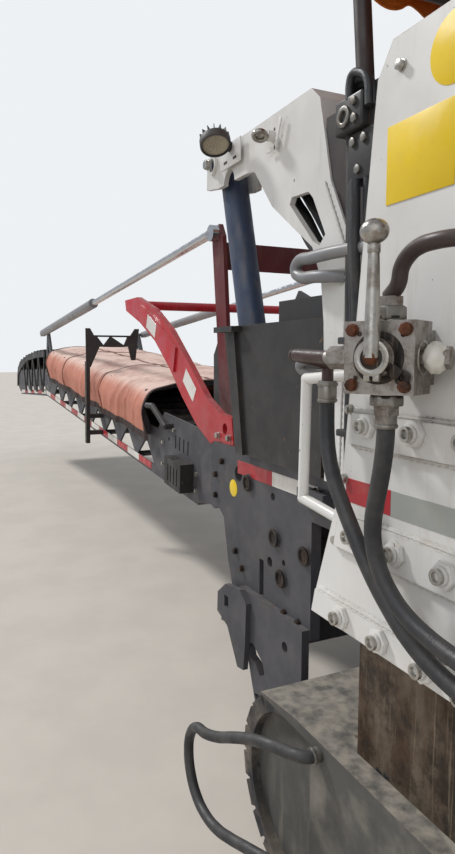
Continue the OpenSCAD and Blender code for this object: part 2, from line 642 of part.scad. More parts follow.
// Primary conveyor, in its own frame: s from the tail pin, w across the belt.
primary_tail = [1080, 560];
primary_len = 3150;
primary_drum_r = 120;
tail_pin_r = 30;
module climbed() { placed() translate([primary_tail[0], 0, primary_tail[1]]) rotate([0, -primary_climb, 0]) children(); }
lug_s = 2520;
lug_w = -220;
module primary_frame() {
    color("#44464a") climbed() {
        sides() {
            xz(primary_half_w - 16, 16) polygon([[-160, -150], [primary_len - 200, -170], [primary_len - 40, -150],
                [primary_len, 0], [primary_len - 60, 190], [300, 190], [-160, 190]]);
            ybar(0, primary_half_w - 1, 0, tail_pin_r, 28);
        }
        // pulleys inside the belt
        for (s = [0, primary_len - 150]) {
            ybar(s, -primary_half_w + 40, 0, primary_drum_r - 14 - fit, 2 * primary_half_w - 80);
            ybar(s, -primary_half_w + 1, 0, 30, 2 * primary_half_w - 2);
        }
        // cross members between the belt's runs
        for (s = [420, 1200, 2000, 2700]) ybar(s, -primary_half_w + 16, 0, 35, 2 * primary_half_w - 32);
    }
}
// lugs on the side frames, with the cross tubes and pins that the lift rods hold
module lift_lugs() {
    color("#44464a") climbed() sides() {
        xz(primary_half_w, 30) polygon([[lug_s - 220, -100], [lug_s - 90, -160], [lug_s - 60, lug_w],
            [lug_s, lug_w - 60], [lug_s + 60, lug_w], [lug_s + 70, -160], [lug_s + 200, -100]]);
        ybar(lug_s, primary_half_w + 30, lug_w, 36, cheek_y - 34 - primary_half_w - 30);
        ybar(lug_s, cheek_y - 34, lug_w, lift_pin_r, 68);
    }
}
module primary_belt() {
    color("#232427") climbed() difference() {
        union() {
            xz(-primary_half_w + 30, 2 * primary_half_w - 60) square_loop(0, primary_len - 150, primary_drum_r);
            for (s = [100:240:primary_len - 250])
                span([s, -primary_half_w + 60, primary_drum_r - 1], [s + 14, primary_half_w - 60, primary_drum_r + 40]);
        }
        xz(-primary_half_w, 2 * primary_half_w) square_loop(0, primary_len - 150, primary_drum_r - 14);
    }
}
module square_loop(a, b, r) {
    translate([a, -r]) square([b - a, 2 * r]);
    translate([a, 0]) circle(r = r);
    translate([b, 0]) circle(r = r);
}

// Lift cylinders between the gallows' tips and the conveyor's lugs.
lift_pin_r = 25;
lug_x = primary_tail[0] + lug_s * cos(primary_climb) - lug_w * sin(primary_climb);
lug_z = primary_tail[1] + lug_s * sin(primary_climb) + lug_w * cos(primary_climb);
lift_len = norm([lift_top[0] - lug_x, lift_top[1] - lug_z]);
lift_lean = atan2(lift_top[0] - lug_x, lift_top[1] - lug_z);
// Frame at the top pin, with -Z running down the cylinder.
module lift_line() { placed() translate([lift_top[0], 0, lift_top[1]]) rotate([0, lift_lean, 0]) sides() translate([0, cheek_y, 0]) children(); }
module lift_barrels() {
    color("#2f3c52") lift_line() {
        translate([0, -40, 0]) rotate([-90, 0, 0]) cylinder(r = 45, h = 80);
        translate([0, -gallows_t - 85, 0]) rotate([-90, 0, 0]) cylinder(r = lift_pin_r, h = 190);
        difference() {
            translate([0, 0, -lift_len + 330]) cylinder(r = 55, h = lift_len - 360);
            translate([0, 0, -lift_len + 320]) cylinder(r = 35 + fit, h = lift_len - 460);
        }
    }
}
module lift_rods() {
    color("silver") lift_line() {
        translate([0, 0, -lift_len + 40]) cylinder(r = 35, h = 430);
        translate([0, 0, -lift_len]) difference() {
            translate([0, -30, 0]) rotate([-90, 0, 0]) cylinder(r = 48, h = 60);
            translate([0, -31, 0]) rotate([-90, 0, 0]) cylinder(r = lift_pin_r + 4, h = 62);
        }
    }
}

// Slewing console, in its own frame: u ahead of the slewing axis.
pin_r = 80;
arm_v = discharge_half_w + 12;
mast_v = 640;
mast_face = mast_v - 28;
mast_u = 300;
mast_z = 2230;
hopper_v = 500;
hopper_step = 260;
module slewed() { placed() translate([slew_x, 0, 0]) rotate([0, 0, -slew_rest]) children(); }
module console() {
    color("#4a4c50") slewed() {
        translate([0, 0, nose_z - 30]) cylinder(r = pin_r, h = nose_top - nose_z + 40);
        translate([0, 0, nose_z - 30]) cylinder(r = pin_r + 30, h = 29);
        translate([0, 0, nose_top + 1]) cylinder(r = 260, h = 59);
        span([-60, -arm_v - 30, nose_top + 1], [260, arm_v + 30, nose_top + 60]);
        sides() difference() {
            xz(arm_v, 30) polygon([[0, nose_top + 60], [0, nose_top + 1], [200, nose_top - 40], [280, hinge_z - 130],
                [hinge_u - 60, hinge_z - 170], [hinge_u + 110, hinge_z - 120], [hinge_u + 130, hinge_z + 60],
                [hinge_u + 60, hinge_z + 150], [260, nose_top + 60]]);
            ybar(hinge_u, arm_v - 1, hinge_z, 40 + fit, 32);
        }
    }
}
module hopper() {
    color("#2b2c2f") slewed() {
        // low walls below the primary conveyor's head, high ones ahead of it
        sides() xz(hopper_v, 12) polygon([[-330, 1300], [-300, nose_top + 60], [250, nose_top + 60], [420, 1130],
            [560, 1180], [560, 1600], [500, 1680], [330, 1690], [hopper_step, 1620], [hopper_step - 20, 1420],
            [-280, 1400]]);
        // chute between the walls
        xz(-hopper_v, 2 * hopper_v) polygon([[-310, 1380], [-290, 1380], [-275, 1270], [250, nose_top + 80],
            [250, nose_top + 60], [-290, 1250]]);
        // front wall and its upper lip
        xz(-hopper_v, 2 * hopper_v) polygon([[548, 1300], [560, 1300], [560, 1600], [500, 1680], [491, 1672],
            [548, 1594]]);
    }
}
module mast() {
    color("#5c1a1c") slewed() {
        sides() {
            xz(mast_face - 22, 22) polygon([[60, nose_top + 60], [250, nose_top + 60], [300, 1700], [360, mast_z - 20],
                [340, mast_z + 40], [270, mast_z + 45], [230, mast_z - 20], [180, 1700]]);
            span([60, arm_v, nose_top + 60], [250, mast_face, nose_top + 80]);
        }
        span([300, -mast_face + 22, 2050], [318, mast_face - 22, 2190]);
    }
}

// Discharge conveyor, in its own frame: s from its hinge along the belt, w above it.
module luffed() { slewed() translate([hinge_u, 0, hinge_z]) rotate([0, -discharge_climb, 0]) children(); }
// The head section, in a frame that starts at the fold.
module headed() { luffed() translate([fold_s, 0, 0]) rotate([0, head_drop, 0]) children(); }
drum_s = head_len - 260;
tail_r = 130;
frame_low = -235;
frame_high = 150;
stay_s = fold_s - 200;
stay_w = 560;
rail_t = 14;
belt_t = 14;
pulley_half_w = 440;
lattice_pitch = 460;
cover_s0 = 1030;
cover_s1 = 4650;
cover_wall = 20;
cover_half_w = 620;
module lattice_cuts(a, b) {
    for (i = [0:floor((b - a) / lattice_pitch) - 1]) translate([a + i * lattice_pitch, 0])
        polygon([[30, -185], [lattice_pitch - 30, -185], [lattice_pitch / 2, -20]]);
}
module past_fold() { translate([fold_s, 0]) rotate(-head_drop) children(); }
module side_outline() {
    difference() {
        union() {
            polygon([[-120, -120], [0, -170], [250, frame_low], [fold_s, frame_low], [fold_s, frame_high - 60],
                [980, frame_high - 60], [860, 225], [240, 225], [-80, 150], [-120, 60]]);
            past_fold() polygon([[-20, frame_low], [head_len - 260, frame_low + 30], [head_len - 90, -140],
                [head_len - 70, -20], [head_len - 125, 90], [head_len - 300, 130], [-20, frame_high - 60]]);
        }
        lattice_cuts(1000, fold_s - 150);
        past_fold() lattice_cuts(60, head_len - 300);
    }
}
module pulley(s) {
    ybar(s, -pulley_half_w, 0, tail_r - belt_t - fit, 2 * pulley_half_w);
    ybar(s, -discharge_half_w + 8, 0, 35, 2 * discharge_half_w - 16);
}
module cross_member(s) { ybar(s, -discharge_half_w + 8, -205, 22, 2 * discharge_half_w - 16); }
module discharge_frame() {
    color("#3d3f43") {
        luffed() {
            sides() {
                difference() {
                    xz(discharge_half_w - rail_t, rail_t) side_outline();
                    // slots and holes of the near end
                    for (i = [0:3]) span([420 + i * 70, discharge_half_w - 20, 20], [438 + i * 70, discharge_half_w + 1, 110]);
                    ybar(760, discharge_half_w - 20, 60, 14, 40);
                }
                // hinge pin
                ybar(0, discharge_half_w - 1, 0, 40, 43);
                // bottom flange
                xz(discharge_half_w - 70, 69) {
                    translate([250, frame_low - 12]) square([fold_s - 250, 16]);
                    past_fold() translate([-20, frame_low - 12]) square([head_len - 280, 16]);
                }
                // bracket for the luffing cylinder
                xz(discharge_half_w - 1, 20) polygon([[stay_s - stay_foot, 80], [stay_s - 290, 80], [stay_s, stay_w - 110],
                    [stay_s + 60, 80], [stay_s + 150, 80], [stay_s + 60, stay_w], [stay_s - 60, stay_w]]);
                ybar(stay_s, discharge_half_w + 18, stay_w - 10, 18, 90);
            }
            pulley(0);
            pulley(fold_s);
            for (s = [600:900:fold_s]) cross_member(s);
        }
        headed() {
            pulley(drum_s);
            for (s = [500:700:head_len - 400]) cross_member(s);
        }
    }
}
// Hood over the head: bent ribs with a skin between them, and side braces.
module head_hood() {
    top = [[40, 330], [700, 345], [1500, 320], [2150, 262], [head_len - 150, 170], [head_len - 50, 40], [head_len, -120]];
    in = [[40, 312], [695, 327], [1490, 302], [2140, 246], [head_len - 162, 156], [head_len - 66, 34],
        [head_len - 18, -120]];
    color("#2b2c2f") headed() {
        difference() {
            xz(-discharge_half_w - 16, 2 * discharge_half_w + 32) polygon(concat(top, [[head_len - 60, -120],
                [head_len - 150, 60], [2080, 150], [1480, 250], [700, 262], [40, 250]]));
            xz(-discharge_half_w, 2 * discharge_half_w) polygon(concat([[-20, 312]], in, [[head_len - 18, -300],
                [-20, -300]]));
        }
        // braces down to the side frames
        sides() xz(discharge_half_w + fit, 12) {
            for (s = [60, 520, 980, 1440]) polygon([[s, 290], [s + 40, 290], [s + 230, -200], [s + 190, -200]]);
            for (s = [310, 770, 1230, 1690]) polygon([[s + 190, 260], [s + 230, 260], [s + 40, -200], [s, -200]]);
        }
        // ribs
        for (s = [60:240:2000]) translate([s, 0, lookup(s, top)])
            span([0, -discharge_half_w - 20, -12], [26, discharge_half_w + 20, 14]);
    }
}
// Louvred box, prop bars and the bracket that stands above the cover.
bar_s = 2430;
bar_v = cover_half_w + 60;
module conveyor_fittings() {
    color("#2b2c2f") luffed() {
        // louvred box on the near end
        difference() {
            span([330, discharge_half_w, -190], [600, discharge_half_w + 90, -10]);
            for (i = [0:3]) span([380 + i * 50, discharge_half_w + 80, -160], [395 + i * 50, discharge_half_w + 91, -50]);
        }
        sides() {
            // handrail along the near plate
            pipe([[700, discharge_half_w, 160], [700, discharge_half_w + 50, 160], [900, discharge_half_w + 70, 265],
                [1000, discharge_half_w + 75, 255]], 20);
            // prop bar on two spacers
            span([bar_s - 25, bar_v, -300], [bar_s + 25, bar_v + 34, 430]);
            for (w = [-225, -75]) span([bar_s - 20, discharge_half_w, w], [bar_s + 20, bar_v + 1, w + 36]);
        }
        // bracket above the cover
        translate([bar_s - 10, 0, 0]) rotate([90, 0, 90]) linear_extrude(14) difference() {
            polygon([[bar_v + 30, 380], [bar_v + 34, 720], [bar_v - 6, 720], [bar_v - 40, 660], [310, 660], [270, 720],
                [230, 720], [260, 440], [300, 440], [330, 560], [bar_v - 90, 560], [bar_v - 10, 380]]);
            polygon([[bar_v - 70, 645], [bar_v - 180, 645], [bar_v - 125, 575]]);
            polygon([[bar_v - 200, 645], [340, 645], [370, 575]]);
        }
    }
}
hoop_t = 24;
stay_foot = 380;                 // from the stay's pin back to its bracket's foot
hoops_s = [cover_s0 + 120, 2050, 3000, 3900, stay_s - stay_foot - hoop_t - 6];
foot_top = frame_high - 50;
module cover_hoops() {
    color("#3d3f43") luffed() for (s = hoops_s) translate([s, 0, 0]) rotate([90, 0, 90])
        linear_extrude(hoop_t) difference() {
            polygon(cover_section(cover_wall + fit, 20));
            polygon(concat([[-discharge_half_w, -1]], cover_section(cover_half_w - discharge_half_w, foot_top),
                [[discharge_half_w, -1]]));
        }
}
module discharge_belt() {
    color("#232427") difference() {
        union() {
            luffed() {
                xz(-430, 860) belt_loop(tail_r);
                for (s = [120:300:fold_s - 100]) span([s, -400, tail_r - 1], [s + 14, 400, tail_r + 35]);
            }
            headed() for (s = [200:300:drum_s - 100]) span([s, -400, tail_r - 1], [s + 14, 400, tail_r + 35]);
        }
        luffed() xz(-500, 1000) belt_loop(tail_r - belt_t);
    }
}
module belt_loop(r) {
    square_loop(0, fold_s, r);
    translate([fold_s, 0]) rotate(-head_drop) square_loop(0, drum_s, r);
}
// Section across the cover, drawn in from its outside, down to the height low.
function cover_section(in, low) = let (a = cover_half_w, t = cover_top, b = in / 2)
    [[-a + in, low], [-a - 45 + in, 220], [-a + 10 + in, t - 65 - b], [-330, t - in], [330, t - in],
    [a - 10 - in, t - 65 - b], [a + 45 - in, 220], [a - in, low]];
module discharge_cover() {
    color("#d98a6f") luffed() translate([cover_s0, 0, 0]) rotate([90, 0, 90]) linear_extrude(cover_s1 - cover_s0) difference() {
        polygon(cover_section(0, 0));
        polygon(cover_section(cover_wall, -1));
    }
}

// Luffing stays: a cylinder low down and a slim rod up to the mast.
stay_pin_w = stay_w - 10;
stay_a = [hinge_u + stay_s * cos(discharge_climb) - stay_pin_w * sin(discharge_climb),
    hinge_z + stay_s * sin(discharge_climb) + stay_pin_w * cos(discharge_climb)];
stay_len = norm([stay_a[0] - mast_u, stay_a[1] - mast_z]);
stay_dip = atan2(mast_z - stay_a[1], stay_a[0] - mast_u);
module stay_line() { slewed() translate([stay_a[0], 0, stay_a[1]]) rotate([0, stay_dip, 0]) sides() translate([0, mast_v, 0]) children(); }
module luff_barrels() {
    color("#6a6c70") stay_line() {
        difference() {
            translate([-stay_len / 2, 0, 0]) rotate([0, 90, 0]) cylinder(r = 42, h = stay_len / 2 - 60);
            translate([-stay_len / 2 - 1, 0, 0]) rotate([0, 90, 0]) cylinder(r = 24 + fit, h = 700);
        }
        difference() {
            union() {
                translate([-70, -22, -30]) cube([70, 44, 60]);
                translate([0, -22, 0]) rotate([-90, 0, 0]) cylinder(r = 36, h = 44);
            }
            translate([0, -23, 0]) rotate([-90, 0, 0]) cylinder(r = 18 + fit, h = 46);
        }
    }
}
module luff_rods() {
    color("silver") stay_line() {
        translate([-stay_len + 40, 0, 0]) rotate([0, 90, 0]) cylinder(r = 24, h = stay_len / 2 + 60);
        // flat eye beside the mast's cheek
        translate([-stay_len, -28 + fit, 0]) rotate([-90, 0, 0]) cylinder(r = 42, h = 40);
        translate([-stay_len + 20, -28 + fit, -20]) cube([60, 40, 40]);
    }
}

// Hoses: a round section swept along chosen points.
function unit(v) = v / norm(v);
function along(p, i) = unit(p[min(i + 1, len(p) - 1)] - p[max(i - 1, 0)]);
function ring(p, i, r, n) =
    let (t = along(p, i), a = unit(cross(t, abs(t[2]) < 0.9 ? [0, 0, 1] : [1, 0, 0])), b = cross(t, a))
    [for (k = [0:n - 1]) p[i] + r * (cos(k * 360 / n) * a + sin(k * 360 / n) * b)];
module hose(p, r, n = 8) {
    m = len(p);
    pts = [for (i = [0:m - 1]) each ring(p, i, r, n)];
    walls = [for (i = [0:m - 2]) for (k = [0:n - 1])
        [i * n + k, i * n + (k + 1) % n, (i + 1) * n + (k + 1) % n, (i + 1) * n + k]];
    ends = [[for (k = [n - 1:-1:0]) k], [for (k = [0:n - 1]) (m - 1) * n + k]];
    polyhedron(points = pts, faces = concat(walls, ends), convexity = 6);
}
valve_route = [[2237, 1262, 1490], [2237, 1262, 1450], [2242, 1262, 1405], [2252, 1261, 1360], [2264, 1260, 1315],
    [2272, 1258, 1280], [2272, 1256, 1240], [2256, 1253, 1192], [2226, 1249, 1152], [2184, 1245, 1122],
    [2134, 1241, 1103], [2080, 1238, 1092], [2035, 1238, 1088], [2000, 1238, 1088]];
elbow_route = [[2489, 1222, 1520], [2489, 1222, 1475], [2484, 1224, 1430], [2470, 1228, 1382], [2446, 1231, 1336],
    [2414, 1233, 1292], [2378, 1234, 1248], [2340, 1234, 1202], [2300, 1233, 1158], [2258, 1231, 1118],
    [2212, 1229, 1082], [2164, 1226, 1054], [2114, 1222, 1034], [2070, 1220, 1024], [2030, 1220, 1020],
    [2000, 1220, 1020]];
crawler_route = [[2560, 1180, 610], [2560, 1212, 610], [2590, 1238, 608], [2640, 1254, 600], [2710, 1268, 580],
    [2780, 1280, 552], [2845, 1290, 520], [2915, 1300, 484], [2985, 1308, 458], [3053, 1310, 440],
    [3103, 1310, 390], [3121, 1310, 322], [3103, 1310, 254], [3053, 1309, 204], [2985, 1306, 186],
    [2915, 1300, 190], [2845, 1290, 208], [2775, 1278, 230], [2705, 1266, 252], [2640, 1250, 270],
    [2590, 1234, 284], [2560, 1212, 290], [2560, 1180, 290]];
module valve_hose() { color("#1f2022") placed() hose(valve_route, 17); }
module elbow_hose() { color("#1f2022") placed() hose(elbow_route, 17); }
module crawler_hose() { color("#2a2b2e") placed() hose(crawler_route, 16); }

main_frame();
leg_housings();
front_plates();
slew_nose();
skid_plates();
gallows();
cylinder_boxes();
guard_frame();
drum_housing();
side_plates();
side_tanks();
engine_block();
engine_hood();
radiator_grille();
exhaust();
deck();
ladders();
handrails();
control_desk();
seats();
canopy_posts();
canopy_roof();
valve();
valve_lever();
grab_handles();
work_lamps();
column_fl();
column_fr();
column_rl();
column_rr();
crawler_fl();
crawler_fr();
crawler_rl();
crawler_rr();
track_fl();
track_fr();
track_rl();
track_rr();
milling_drum();
primary_frame();
lift_lugs();
primary_belt();
lift_barrels();
lift_rods();
console();
hopper();
mast();
discharge_frame();
head_hood();
conveyor_fittings();
cover_hoops();
discharge_belt();
discharge_cover();
luff_barrels();
luff_rods();
valve_hose();
elbow_hose();
crawler_hose();
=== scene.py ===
"""Finishes, hoses, canvas and small parts of a tracked cold planer.

Run as a script: it loads the frame, registers its panel and operators, and calls them in order.
Lengths are metres. Places along the machine are given from the milling drum's axis.
"""
import json
import math

import bmesh
import bpy
from bpy.props import FloatProperty, FloatVectorProperty, PointerProperty, StringProperty
from mathutils import Matrix, Vector, noise


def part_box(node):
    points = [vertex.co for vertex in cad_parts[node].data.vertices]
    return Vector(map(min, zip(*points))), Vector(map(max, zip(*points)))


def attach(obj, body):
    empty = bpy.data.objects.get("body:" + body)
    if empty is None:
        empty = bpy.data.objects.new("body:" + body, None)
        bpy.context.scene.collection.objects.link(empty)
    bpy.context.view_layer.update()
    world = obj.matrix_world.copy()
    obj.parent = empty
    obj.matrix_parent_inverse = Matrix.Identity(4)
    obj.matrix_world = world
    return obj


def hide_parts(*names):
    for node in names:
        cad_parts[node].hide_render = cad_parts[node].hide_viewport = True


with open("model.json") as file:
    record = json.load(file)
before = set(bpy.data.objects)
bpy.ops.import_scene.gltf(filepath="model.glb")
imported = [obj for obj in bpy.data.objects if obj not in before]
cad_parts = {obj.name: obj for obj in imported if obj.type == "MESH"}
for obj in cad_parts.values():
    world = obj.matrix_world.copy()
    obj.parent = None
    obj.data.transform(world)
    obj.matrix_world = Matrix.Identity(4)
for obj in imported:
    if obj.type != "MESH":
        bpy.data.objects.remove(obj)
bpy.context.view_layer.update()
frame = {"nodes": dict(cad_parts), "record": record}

bl_info = {
    "name": "Cold planer finishes",
    "version": (1, 0, 0),
    "blender": (4, 5, 0),
    "location": "3D View > Sidebar > Planer",
    "description": "Paint, hoses, canvas and small parts of a tracked cold planer",
    "category": "Object",
}

# The drum's axis lies this far behind the frame's origin.
MID_X = 4.404941
SIDE_Y = 1.170        # outer face of the leg housings
BAR_Y = SIDE_Y + 0.0142   # outer face of the clamping bars on them
CHEEK_Y = 0.850       # outer face of the front plates
PLUG_Y = CHEEK_Y - 0.020 + 0.0282   # outer face of the round plugs in them
BEAM_V = 0.560        # outer face of the conveyor's side frames
# the rotary valve's foot on the leg, and its turn
VALVE_AT = (2.282, 1.184, 1.595)
VALVE_TURN = math.radians(30)
# the slewing axis, the conveyor's hinge ahead of it and its climb, and the fold of its head section
SLEW_X, SLEW = 4.150, math.radians(-1)
HINGE_U, HINGE_Z, CLIMB = 0.420, 0.920, math.radians(4.6)
FOLD_S, DROP = 5.100, math.radians(7)
GAP = 0.0002          # what a small part stands off the face it sits on
FILM_OUT = 0.0007     # how far out of that face the middle of a film lies
SIDES = (1, -1)       # left and right


def at(x, y, z):
    """A place on the machine in the frame's coordinates."""
    return Vector((x - MID_X, y, z))


def slewed(u, v, z):
    """A place on the slewing console, ahead of its axis."""
    c, s = math.cos(SLEW), math.sin(SLEW)
    return at(SLEW_X + u * c + v * s, -u * s + v * c, z)


def luffed(s, v, w):
    """A place on the discharge conveyor, s along it from its hinge."""
    c, t = math.cos(CLIMB), math.sin(CLIMB)
    return slewed(HINGE_U + s * c - w * t, v, HINGE_Z + s * t + w * c)


def headed(s, v, w):
    """A place on the head section, s along it from the fold."""
    c, t = math.cos(DROP), math.sin(DROP)
    return luffed(FOLD_S + s * c + w * t, v, -s * t + w * c)


def on_valve(x, y, z):
    """A place on the rotary valve, y out from the leg."""
    c, s = math.cos(VALVE_TURN), math.sin(VALVE_TURN)
    return at(VALVE_AT[0] + x * c - y * s, VALVE_AT[1] + x * s + y * c, VALVE_AT[2] + z)


def frame_of(place):
    """The matrix of one of the places above, from its origin and axes."""
    o = place(0, 0, 0)
    x, y, z = (place(1, 0, 0) - o, place(0, 1, 0) - o, place(0, 0, 1) - o)
    m = Matrix((x, y, z)).transposed().to_4x4()
    m.translation = o
    return m


def linear(code):
    """An sRGB hex colour as linear RGBA."""
    values = [int(code[i:i + 2], 16) / 255 for i in (1, 3, 5)]
    return tuple(v / 12.92 if v <= 0.04045 else ((v + 0.055) / 1.055) ** 2.4 for v in values) + (1.0,)


def feed(tree, node, sockets):
    """Link or set the inputs of a node."""
    for key, value in sockets.items():
        if isinstance(value, bpy.types.NodeSocket):
            tree.links.new(value, node.inputs[key])
        else:
            node.inputs[key].default_value = value


def add(tree, kind, sockets=None, **settings):
    """Add a node with its settings, values and links."""
    node = tree.nodes.new(kind)
    for key, value in settings.items():
        setattr(node, key, value)
    feed(tree, node, sockets or {})
    return node


def start(name, metallic=0.0):
    """A new material, its tree, and the place on the piece in metres."""
    material = bpy.data.materials.new(name)
    material.use_nodes = True
    tree = material.node_tree
    tree.nodes["Principled BSDF"].inputs["Metallic"].default_value = metallic
    return material, tree, add(tree, "ShaderNodeTexCoord").outputs["Object"]


def cloud(tree, place, per_metre, detail=4.0, rough=0.55, low=0.35, high=0.65, within=None):
    """A soft mask with blotches of the given number to a metre, kept within another mask if there is one."""
    value = add(tree, "ShaderNodeTexNoise", {"Vector": place, "Scale": per_metre, "Detail": detail,
                                             "Roughness": rough}).outputs["Fac"]
    mask = add(tree, "ShaderNodeMapRange", {"Value": value, "From Min": low, "From Max": high},
               interpolation_type="SMOOTHSTEP").outputs["Result"]
    if within is not None:
        mask = add(tree, "ShaderNodeMath", {0: within, 1: mask}, operation="MULTIPLY").outputs[0]
    return mask


def coat(tree, below, above, mask, strength=None):
    """A colour laid over the tone below it where the mask is, at the given strength."""
    below, above = (linear(tone) if isinstance(tone, str) else tone for tone in (below, above))
    if strength is not None:
        mask = add(tree, "ShaderNodeMath", {0: mask, 1: strength}, operation="MULTIPLY").outputs[0]
    return add(tree, "ShaderNodeMix", {0: mask, 6: below, 7: above}, data_type="RGBA").outputs[2]


def upward(tree, low=0.2, high=0.95):
    """A mask of the faces that look up, where dust settles and where cloth gets its painted sunlight."""
    normal = add(tree, "ShaderNodeNewGeometry").outputs["Normal"]
    height = add(tree, "ShaderNodeSeparateXYZ", {0: normal}).outputs["Z"]
    return add(tree, "ShaderNodeMapRange",
               {"Value": height, "From Min": low, "From Max": high}).outputs["Result"]


def worn_edges(tree, place, wide):
    """A mask of the edges that get rubbed, broken up as chipped paint is."""
    true = add(tree, "ShaderNodeNewGeometry").outputs["Normal"]
    soft = add(tree, "ShaderNodeBevel", {"Radius": wide}, samples=4).outputs["Normal"]
    turn = add(tree, "ShaderNodeVectorMath", {0: true, 1: soft}, operation="DOT_PRODUCT").outputs["Value"]
    edge = add(tree, "ShaderNodeMapRange", {"Value": turn, "From Min": 0.96, "From Max": 0.78})
    return cloud(tree, place, 26, 8, 0.7, 0.40, 0.60, within=edge.outputs["Result"])


def runs(tree, place, per_metre=30):
    """A mask of the streaks that rain and oil leave down a plate."""
    drawn = add(tree, "ShaderNodeMapping", {"Vector": place, "Scale": (1.0, 1.0, 0.10)}).outputs["Vector"]
    return cloud(tree, place, 2.2, 3, 0.5, 0.40, 0.62,
                 within=cloud(tree, drawn, per_metre, 5, 0.6, 0.50, 0.72))


def surface(material, tone, gloss, relief):
    """Give a finish its tone, its gloss and its relief.

    The gloss is one roughness, or a mask with the roughness at its low and high end. The relief is a height,
    its depth and its strength.
    """
    tree = material.node_tree
    if isinstance(gloss, tuple):
        mask, low, high = gloss
        gloss = add(tree, "ShaderNodeMapRange",
                    {"Value": mask, "To Min": low, "To Max": high}).outputs["Result"]
    height, depth, strength = relief
    bump = add(tree, "ShaderNodeBump", {"Height": height, "Distance": depth, "Strength": strength})
    feed(tree, tree.nodes["Principled BSDF"],
         {"Base Color": tone, "Roughness": gloss, "Normal": bump.outputs["Normal"]})
    return material


def enamel(name, paint, shade, dust, chips, rough, dusting, under="#4b2f20", edge=0.5, stain="#8a7458",
           streaking=0.7):
    """Sprayed enamel on plate: faint orange peel, dust, oily runs, chips and edges rubbed to rusty primer."""
    material, tree, place = start(name)
    tone = coat(tree, paint, shade, cloud(tree, place, 1.6, 3))
    tone = coat(tree, tone, dust, cloud(tree, place, 5, 8, 0.65, 0.45, 0.75), dusting * 0.5)
    tone = coat(tree, tone, stain, runs(tree, place), dusting * streaking)
    tone = coat(tree, tone, dust, cloud(tree, place, 22, 6, 0.6, 0.25, 0.7, within=upward(tree)), dusting)
    tone = coat(tree, tone, under, cloud(tree, place, 19, 9, 0.7, 0.70 - chips, 0.72 - chips), 0.85)
    tone = coat(tree, tone, under, worn_edges(tree, place, 0.006), edge)
    # orange peel of about 2 mm, and the slow waves of a welded plate
    peel = add(tree, "ShaderNodeMath", {0: cloud(tree, place, 520, 2), 1: 0.05, 2: cloud(tree, place, 4, 2)},
               operation="MULTIPLY_ADD").outputs[0]
    return surface(material, tone, (cloud(tree, place, 9, 6), rough - 0.06, min(rough + 0.22, 0.95)),
                   (peel, 0.004, 0.22))


def film(name, paint, shade, dust, rough, dusting, cell_mm=0.0):
    """Printed film stuck on paint: flat and glossy, faded in patches; a reflective one has prism cells."""
    material, tree, place = start(name)
    tone = coat(tree, paint, shade, cloud(tree, place, 3.0, 4))
    tone = coat(tree, tone, dust, cloud(tree, place, 14, 8, 0.7, 0.48, 0.78), dusting)
    tone = coat(tree, tone, dust, runs(tree, place, 46), dusting * 0.7)
    if cell_mm:
        cell = add(tree, "ShaderNodeTexVoronoi",
                   {"Vector": place, "Scale": 1000.0 / cell_mm, "Randomness": 0.25},
                   feature="DISTANCE_TO_EDGE")
        wall = add(tree, "ShaderNodeMapRange",
                   {"Value": cell.outputs["Distance"], "From Max": 0.12, "To Min": 0.16, "To Max": 0.0})
        tone = coat(tree, tone, dust, wall.outputs["Result"])
    return surface(material, tone, (cloud(tree, place, 12, 5), rough, rough + 0.2),
                   (cloud(tree, place, 18, 2), 0.0008, 0.15))


def greased_steel(name, base, rust, grease, rough, metallic, blob=0.0):
    """Bare steel scraped by its guides: rust and grease in patches, thin scores along its length."""
    material, tree, place = start(name, metallic)
    drawn, scored = (add(tree, "ShaderNodeMapping",
                         {"Vector": place, "Scale": (1.0, 1.0, by)}).outputs["Vector"] for by in (0.30, 0.03))
    tone = coat(tree, base, rust, cloud(tree, drawn, 13, 9, 0.68, 0.36, 0.66))
    tone = coat(tree, tone, grease, cloud(tree, place, 5.5, 9, 0.72, 0.44, 0.60), 0.85)
    tone = coat(tree, tone, "#a3937d", cloud(tree, scored, 120, 4, 0.6, 0.56, 0.70), 0.35)
    if blob:
        # fresh blue-black grease pushed out in lumps
        tone = coat(tree, tone, "#171d2c", cloud(tree, place, 7, 6, 0.6, 0.72 - blob, 0.75 - blob))
    return surface(material, tone, (cloud(tree, place, 12, 6), rough - 0.18, rough + 0.25),
                   (cloud(tree, place, 60, 8, 0.7), 0.0012, 0.4))


def plated_steel(name, base, stain, rough, staining, grain=160, painted=None):
    """Zinc plated or machined steel: fine turned grain and brownish stains.

    Past the place painted, along the machine, it is brown enamel, as on the pipe of the rotary valve.
    """
    material, tree, place = start(name, 1.0)
    tone = coat(tree, base, stain, cloud(tree, place, 26, 8, 0.7, 0.42, 0.66), staining)
    if painted is not None:
        along = add(tree, "ShaderNodeSeparateXYZ", {0: place}).outputs["X"]
        mask = add(tree, "ShaderNodeMapRange",
                   {"Value": along, "From Min": painted, "From Max": painted + 0.001}).outputs["Result"]
        tone = coat(tree, tone, "#3f2b27", mask)
        bare = add(tree, "ShaderNodeMapRange", {"Value": mask, "To Min": 1.0, "To Max": 0.0})
        feed(tree, tree.nodes["Principled BSDF"], {"Metallic": bare.outputs["Result"]})
    return surface(material, tone, (cloud(tree, place, 40, 5), rough, rough + 0.25),
                   (cloud(tree, place, grain, 3), 0.0004, 0.3))


